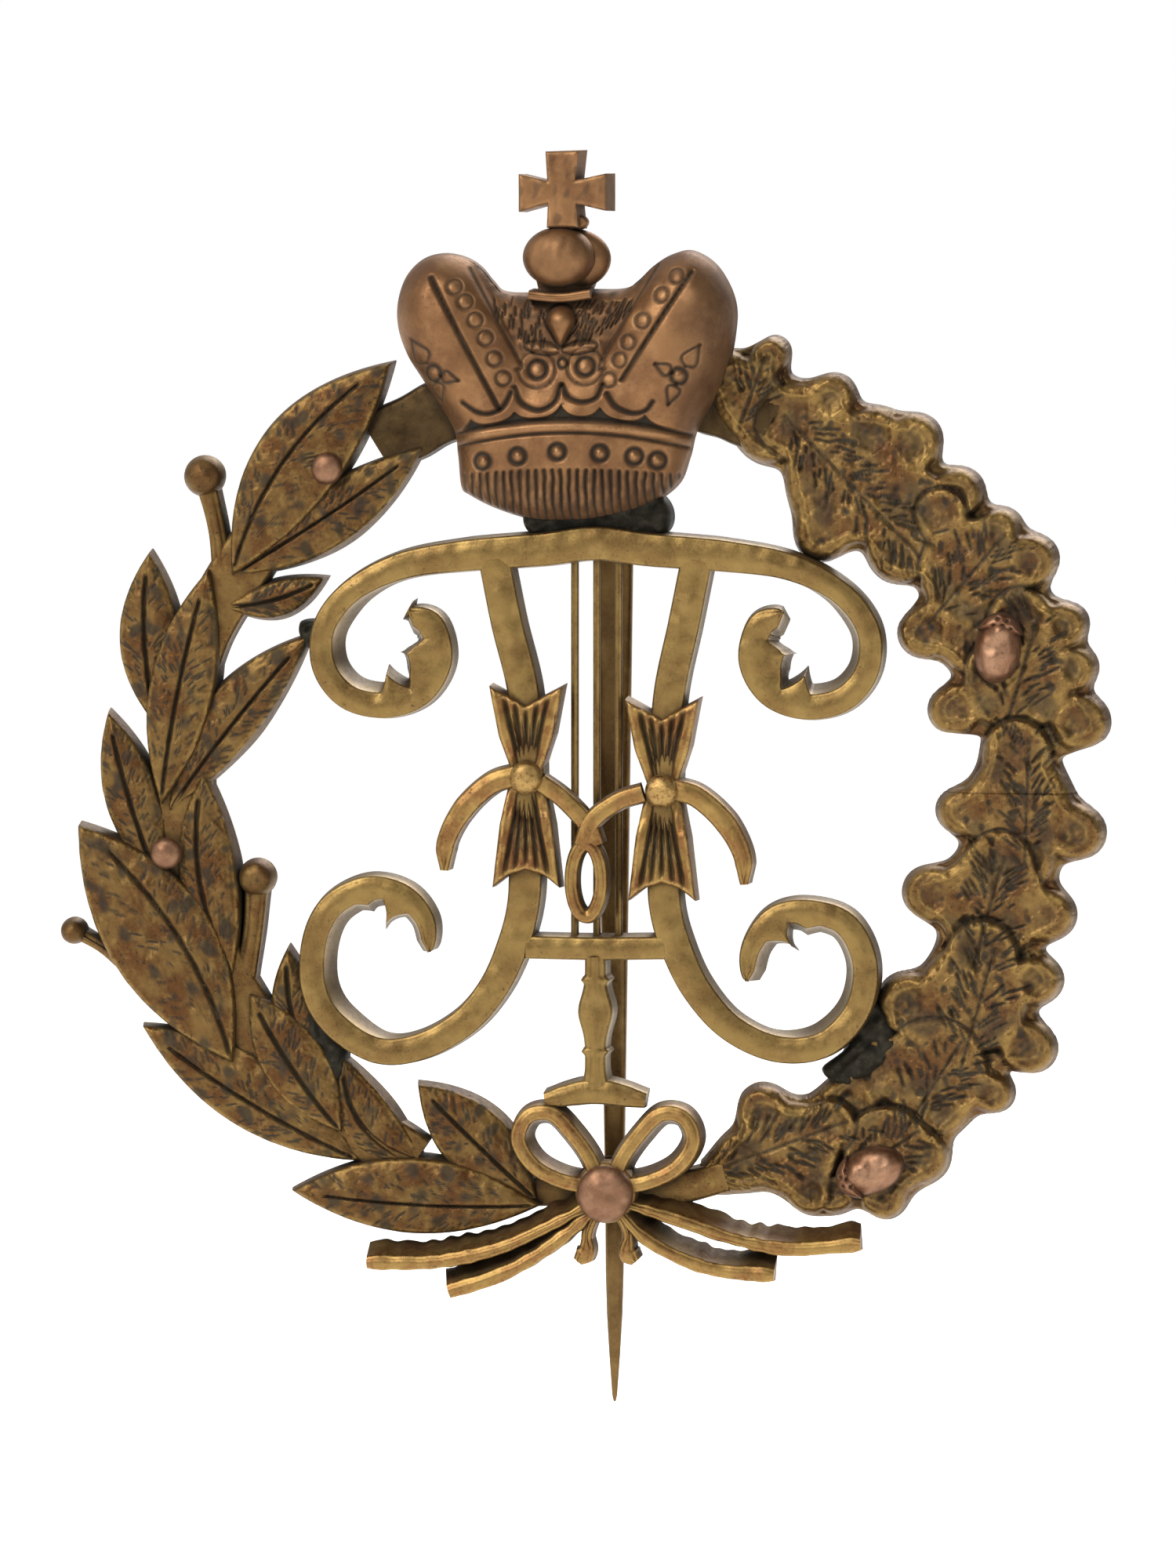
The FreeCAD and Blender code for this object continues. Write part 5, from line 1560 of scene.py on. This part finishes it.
@dataclass
class Studs:
    """The copper studs on the wreath: two rivets and two acorns in their cups."""

    leans: dict[str, float] = field(default_factory=lambda: {"upper": 82.0, "lower": 202.0})

    def nut(self, centre: Point, lean: float) -> Shell:
        """An acorn's nut: an uneven dome over an oval."""
        def top(front: Relief) -> None:
            """Domes the nut, with a small dent."""
            front.height += 1.9 + 1.15 * arch(front.inset / 1.05) + 0.05 * unevenness(front.x, front.z, 0.9,
                                                                                      12)
            front.wear = np.maximum(front.wear, 0.5 * step(front.inset, 0.3, 0.8))
            front.patina_and_shade = np.maximum(front.patina_and_shade, 0.8 * (1 - step(front.inset, 0.0, 0.14)))

        return relief(oval(centre, 1.6, 1.1, lean), top, rings=26, centre=centre, flare=0.02)

    def cup(self, centre: Point, lean: float) -> Shell:
        """The cup round the nut's end: the end of a larger oval, pricked with dots.

        Args:
            centre: The acorn's middle.
            lean: Which way it points, in degrees.

        Returns:
            The cup.
        """
        bearing = np.radians(np.linspace(-62, 62, 60))
        rim = np.stack([1.78 * np.cos(bearing), 1.24 * np.sin(bearing)], axis=1)
        edge = evenly(placed(rim, centre, lean), 150, closed=True)
        middle = placed(np.array([[1.2, 0.0]]), centre, lean)[0]
        dots = placed(np.array([(1.1, -0.5), (1.2, -0.1), (1.15, 0.3), (1.45, -0.3), (1.5, 0.15)]), centre,
                      lean)

        def top(front: Relief) -> None:
            """Domes the cup and pricks it."""
            front.height += 2.2 + 0.75 * arch(front.inset / 0.55)
            for dot in dots:
                front.groove(np.hypot(front.x - dot[0], front.z - dot[1]), 0.09, 0.16, 1.0)
            front.patina_and_shade = np.maximum(front.patina_and_shade, 0.9 * (1 - step(front.inset, 0.02, 0.12)))

        return relief(edge, top, rings=24, centre=tuple(middle), flare=0.02)

    def build(self) -> None:
        """Makes the six studs."""
        metal = Metal.COPPER.material()
        head = [(0.4, 0.05), (0.4, 1.9), (0.7, 2.1), (0.75, 2.3), (0.62, 2.58), (0.3, 2.76), (0.02, 2.8)]
        for word, lean in self.leans.items():
            rivet = turned(head, Place.of(f"laurel_rivet_{word}").middle, 44, uneven=0.02)
            fit(mesh_piece(f"laurel_rivet_{word}_domed", [rivet], metal), BADGE, "copper",
                f"laurel_rivet_{word}")
            place = Place.of(f"acorn_{word}_nut").middle
            fit(mesh_piece(f"acorn_{word}_nut_domed", [self.nut(place, lean)], metal), BADGE, "copper",
                f"acorn_{word}_nut")
            fit(mesh_piece(f"acorn_{word}_cup_pricked", [self.cup(place, lean)], metal), BADGE, "copper",
                f"acorn_{word}_cup")


@dataclass
class Fastening:
    """What holds the badge together and to the cap: needle, bridge bar, fittings and solder."""

    line: float = field(default_factory=lambda: Place.of("needle").middle[0])
    depth: float = field(default_factory=lambda: (Place.of("hinge_axle").front
                                                  + Place.of("hinge_axle").back) / 2)
    hinge: float = field(default_factory=lambda: Place.of("hinge_axle").middle[1])
    solder: dict[str, Sequence[Point]] = field(default_factory=lambda: {
        "solder_left": ((-13.6, -8.9), (-12.7, -10.6), (-11.7, -12.2), (-12.1, -13.9), (-13.4, -13.6)),
        "solder_right": ((13.2, -9.8), (12.3, -12.0), (11.0, -13.2), (12.4, -13.9), (14.6, -12.0)),
        "solder_upper": ((-13.9, 7.9), (-12.8, 7.9), (-12.8, 6.8), (-13.7, 6.9)),
        "solder_crown": ((-2.6, 12.1), (-2.4, 14.2), (3.0, 14.2), (3.2, 12.1))})

    def needle(self) -> list[Shell]:
        """The needle: a flat blade that tapers to a round shaft and a point, and its rolled eye.

        Returns:
            The needle and its eye.
        """
        level = np.concatenate([np.linspace(18.4, -20.5, 110), np.linspace(-20.8, -29.48, 70)])
        stations = [-29.48, -29.2, -27.3, -25.3, -23.2, -20.5, 18.3, 18.4]
        wide = np.interp(level, stations, [0.05, 0.12, 0.26, 0.38, 0.44, 0.45, 0.98, 0.92])
        deep = np.interp(level, stations, [0.04, 0.1, 0.24, 0.36, 0.41, 0.4, 0.4, 0.34])
        power = np.interp(level, [-24.0, -19.0], [1.0, 0.45])[:, None]
        bearing = np.linspace(0, 2 * math.pi, 40, endpoint=False)
        across = np.sign(np.cos(bearing)) * np.abs(np.cos(bearing)) ** power * wide[:, None]
        along = np.sign(np.sin(bearing)) * np.abs(np.sin(bearing)) ** power * deep[:, None]
        ring = np.stack([self.line + across, -self.depth + along, level[:, None] + 0 * across], axis=-1)
        turn = np.linspace(0, 2 * math.pi, 64, endpoint=False)[:, None]
        corner = np.array([(0.44, -1.1), (0.5, -1.14), (0.84, -1.14), (0.9, -1.06), (0.9, 1.06), (0.84, 1.14),
                           (0.5, 1.14), (0.44, 1.1)])
        eye = np.stack([self.line + corner[:, 1] + 0 * turn, -self.depth + corner[:, 0] * np.cos(turn),
                        self.hinge + corner[:, 0] * np.sin(turn)], axis=-1)
        return [loft(ring, 0.05, 0.2), loft(eye, 0.1, 0.2, loop=True)]

    def bridge(self) -> Shell:
        """The bar that joins the branches' tops behind the crown, filed and rough.

        Returns:
            The bar.
        """
        bearing = np.radians(np.linspace(122, 64, 150))
        path = 19.3 * np.stack([np.cos(bearing), np.sin(bearing)], axis=1)
        wobble = 0.05 * unevenness(path[:, 0], path[:, 1], 1.6, 8)
        return band(path, 1.5 + wobble, 1.5 - wobble, 1.4 + wobble, 0.0, bevel=0.25, crown=0.16, gloss=0.1)

    def lump(self, name: str) -> Shell:
        """A lump of solder, run into its corner.

        Args:
            name: The lump's node.

        Returns:
            The lump.
        """
        corners = np.array(self.solder[name])
        edge = smooth(corners, 160, closed=True)
        level = 2.35 if name == "solder_crown" else 1.8

        def top(front: Relief) -> None:
            """Rounds the lump and roughens it."""
            front.height += level - 0.5 + 0.5 * arch(front.inset / 0.5) + 0.08 * unevenness(front.x, front.z,
                                                                                            0.8, 6)
            front.patina_and_shade += 0.3

        return relief(edge, top, 0.4, rings=20, flare=0.1)

    def build(self) -> None:
        """Makes the needle, the bar and the solder, and dresses the hinge and the catch."""
        fit(mesh_piece("needle_drawn", self.needle(), Metal.NEEDLE.material()), NEEDLE, "needle_brass",
            "needle")
        fit(mesh_piece("bridge_bar_filed", [self.bridge()], Metal.FITTING.material()), BADGE, "fitting_brass",
            "bridge_bar")
        for name in self.solder:
            fit(mesh_piece(f"{name}_lump", [self.lump(name)], Metal.SOLDER.material()), BADGE, "solder", name)
        for node in ("hinge_axle", "hinge_bracket", "needle_catch"):
            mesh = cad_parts[node].data
            mesh.materials.clear()
            mesh.materials.append(Metal.FITTING.material())


# ---------------------------------------------------------------- the setting


@dataclass
class Studio:
    """Camera, soft lights, a white surround and a pale floor.

    Attributes:
        distance: From the camera to the badge, in millimetres.
        azimuth: How far round to the right the camera stands, in degrees.
        elevation: How far above level it stands, in degrees.
        view_height: The height of the frame at the badge, in millimetres.
        target: What the middle of the frame shows.
    """

    distance: float = 500.0
    azimuth: float = 5.0
    elevation: float = 3.0
    view_height: float = 74.3
    target: Point = (-0.1, 0.37)
    target_height: float = 2.0
    floor_drop: float = 26.0

    def camera(self) -> None:
        """Stands the camera a little to the right of the badge's middle and a little above it."""
        data = bpy.data.cameras.new("camera")
        data.sensor_fit = "AUTO"
        data.lens = data.sensor_width * self.distance / self.view_height
        data.clip_start = 0.005
        data.clip_end = 20.0
        turn, rise = math.radians(self.azimuth), math.radians(self.elevation)
        level = self.distance * math.cos(rise)
        camera = bpy.data.objects.new("camera", data)
        camera.location = ((self.target[0] + level * math.sin(turn)) * MM,
                           (-self.target_height - level * math.cos(turn)) * MM,
                           (self.target[1] + self.distance * math.sin(rise)) * MM)
        camera.rotation_euler = (math.pi / 2 - rise, 0.0, turn)
        bpy.context.collection.objects.link(camera)
        bpy.context.scene.camera = camera

    @staticmethod
    def light(name: str, place: tuple[float, float, float], size: float, power: float) -> None:
        """Hangs a square soft light that faces the badge.

        Args:
            name: Its name.
            place: Where it hangs, in millimetres.
            size: The length of its side, in millimetres.
            power: Its power, in watts.
        """
        data = bpy.data.lights.new(name, "AREA")
        data.size = size * MM
        data.energy = power
        lamp = bpy.data.objects.new(name, data)
        lamp.location = tuple(part * MM for part in place)
        bpy.context.collection.objects.link(lamp)
        direction = -np.array(place) / np.linalg.norm(place)
        lamp.rotation_euler = (math.acos(-direction[2]), 0.0, math.atan2(-direction[0], direction[1]))

    def floor(self) -> None:
        """Lays a wide pale floor well below the needle's point."""
        level = float(CAD_BOX[0][2]) - self.floor_drop * MM
        half = 6.0
        mesh = bpy.data.meshes.new("floor")
        mesh.from_pydata([(-half, -half, level), (half, -half, level), (half, half, level),
                          (-half, half, level)],
                         [], [(0, 1, 2, 3)])
        # Matt white board.
        board = bpy.data.materials.new("matt_white_board")
        board.use_nodes = True
        shader = board.node_tree.nodes["Principled BSDF"]
        shader.inputs["Base Color"].default_value = linear("#f7f7f6")
        shader.inputs["Roughness"].default_value = 0.9
        shader.inputs["Specular IOR Level"].default_value = 0.1
        shader.inputs["Emission Color"].default_value = linear("#ffffff")
        shader.inputs["Emission Strength"].default_value = 0.55
        mesh.materials.append(board)
        floor = bpy.data.objects.new("floor", mesh)
        bpy.context.collection.objects.link(floor)

    @staticmethod
    def surround() -> None:
        """White to the eye; to the metal, bright above and on the left, dim below and on the right."""
        world = bpy.data.worlds.new("white_surround")
        world.use_nodes = True
        tree = world.node_tree
        tree.nodes.clear()
        facing = add_node(tree, "ShaderNodeTexCoord", out="Generated")
        across, up = (add_node(tree, "ShaderNodeSeparateXYZ", None, {"Vector": facing},
                               axis) for axis in "XZ")
        eased = {"interpolation_type": "SMOOTHSTEP"}
        above = add_node(tree, "ShaderNodeMapRange", eased,
                         {"Value": up, "From Min": -0.7, "From Max": 0.8, "To Min": 0.18, "To Max": 0.68})
        aside = add_node(tree, "ShaderNodeMapRange", eased,
                         {"Value": across, "From Min": -0.6, "From Max": 0.6, "To Min": 1.15, "To Max": 0.4})
        power = add_node(tree, "ShaderNodeMath", {"operation": "MULTIPLY"}, {0: above, 1: aside})
        lit, seen = (add_node(tree, "ShaderNodeBackground", None,
                              {"Color": (1, 1, 1, 1), "Strength": strength})
                     for strength in (power, 1.0))
        ray = add_node(tree, "ShaderNodeLightPath", out="Is Camera Ray")
        mix = add_node(tree, "ShaderNodeMixShader", None, {0: ray, 1: lit, 2: seen})
        add_node(tree, "ShaderNodeOutputWorld", None, {"Surface": mix})
        bpy.context.scene.world = world

    def build(self) -> None:
        """Sets everything up."""
        self.camera()
        self.light("key_light", (-280.0, -420.0, 420.0), 380.0, 3.3)
        self.light("fill_light", (380.0, -420.0, 60.0), 340.0, 0.45)
        self.light("back_light", (120.0, 420.0, 320.0), 340.0, 1.6)
        self.floor()
        self.surround()
        bpy.context.scene.view_settings.view_transform = "Standard"


def main() -> None:
    """Builds the badge part by part."""
    logging.basicConfig(level=logging.INFO, format="%(name)s %(message)s")
    for assembly in (Studio, LaurelBranch, OakBranch, Crown, Lyre, Ribbons, Tie, Studs, Fastening):
        log.info("%s", assembly.__name__)
        assembly().build()


if __name__ == "__main__":
    main()
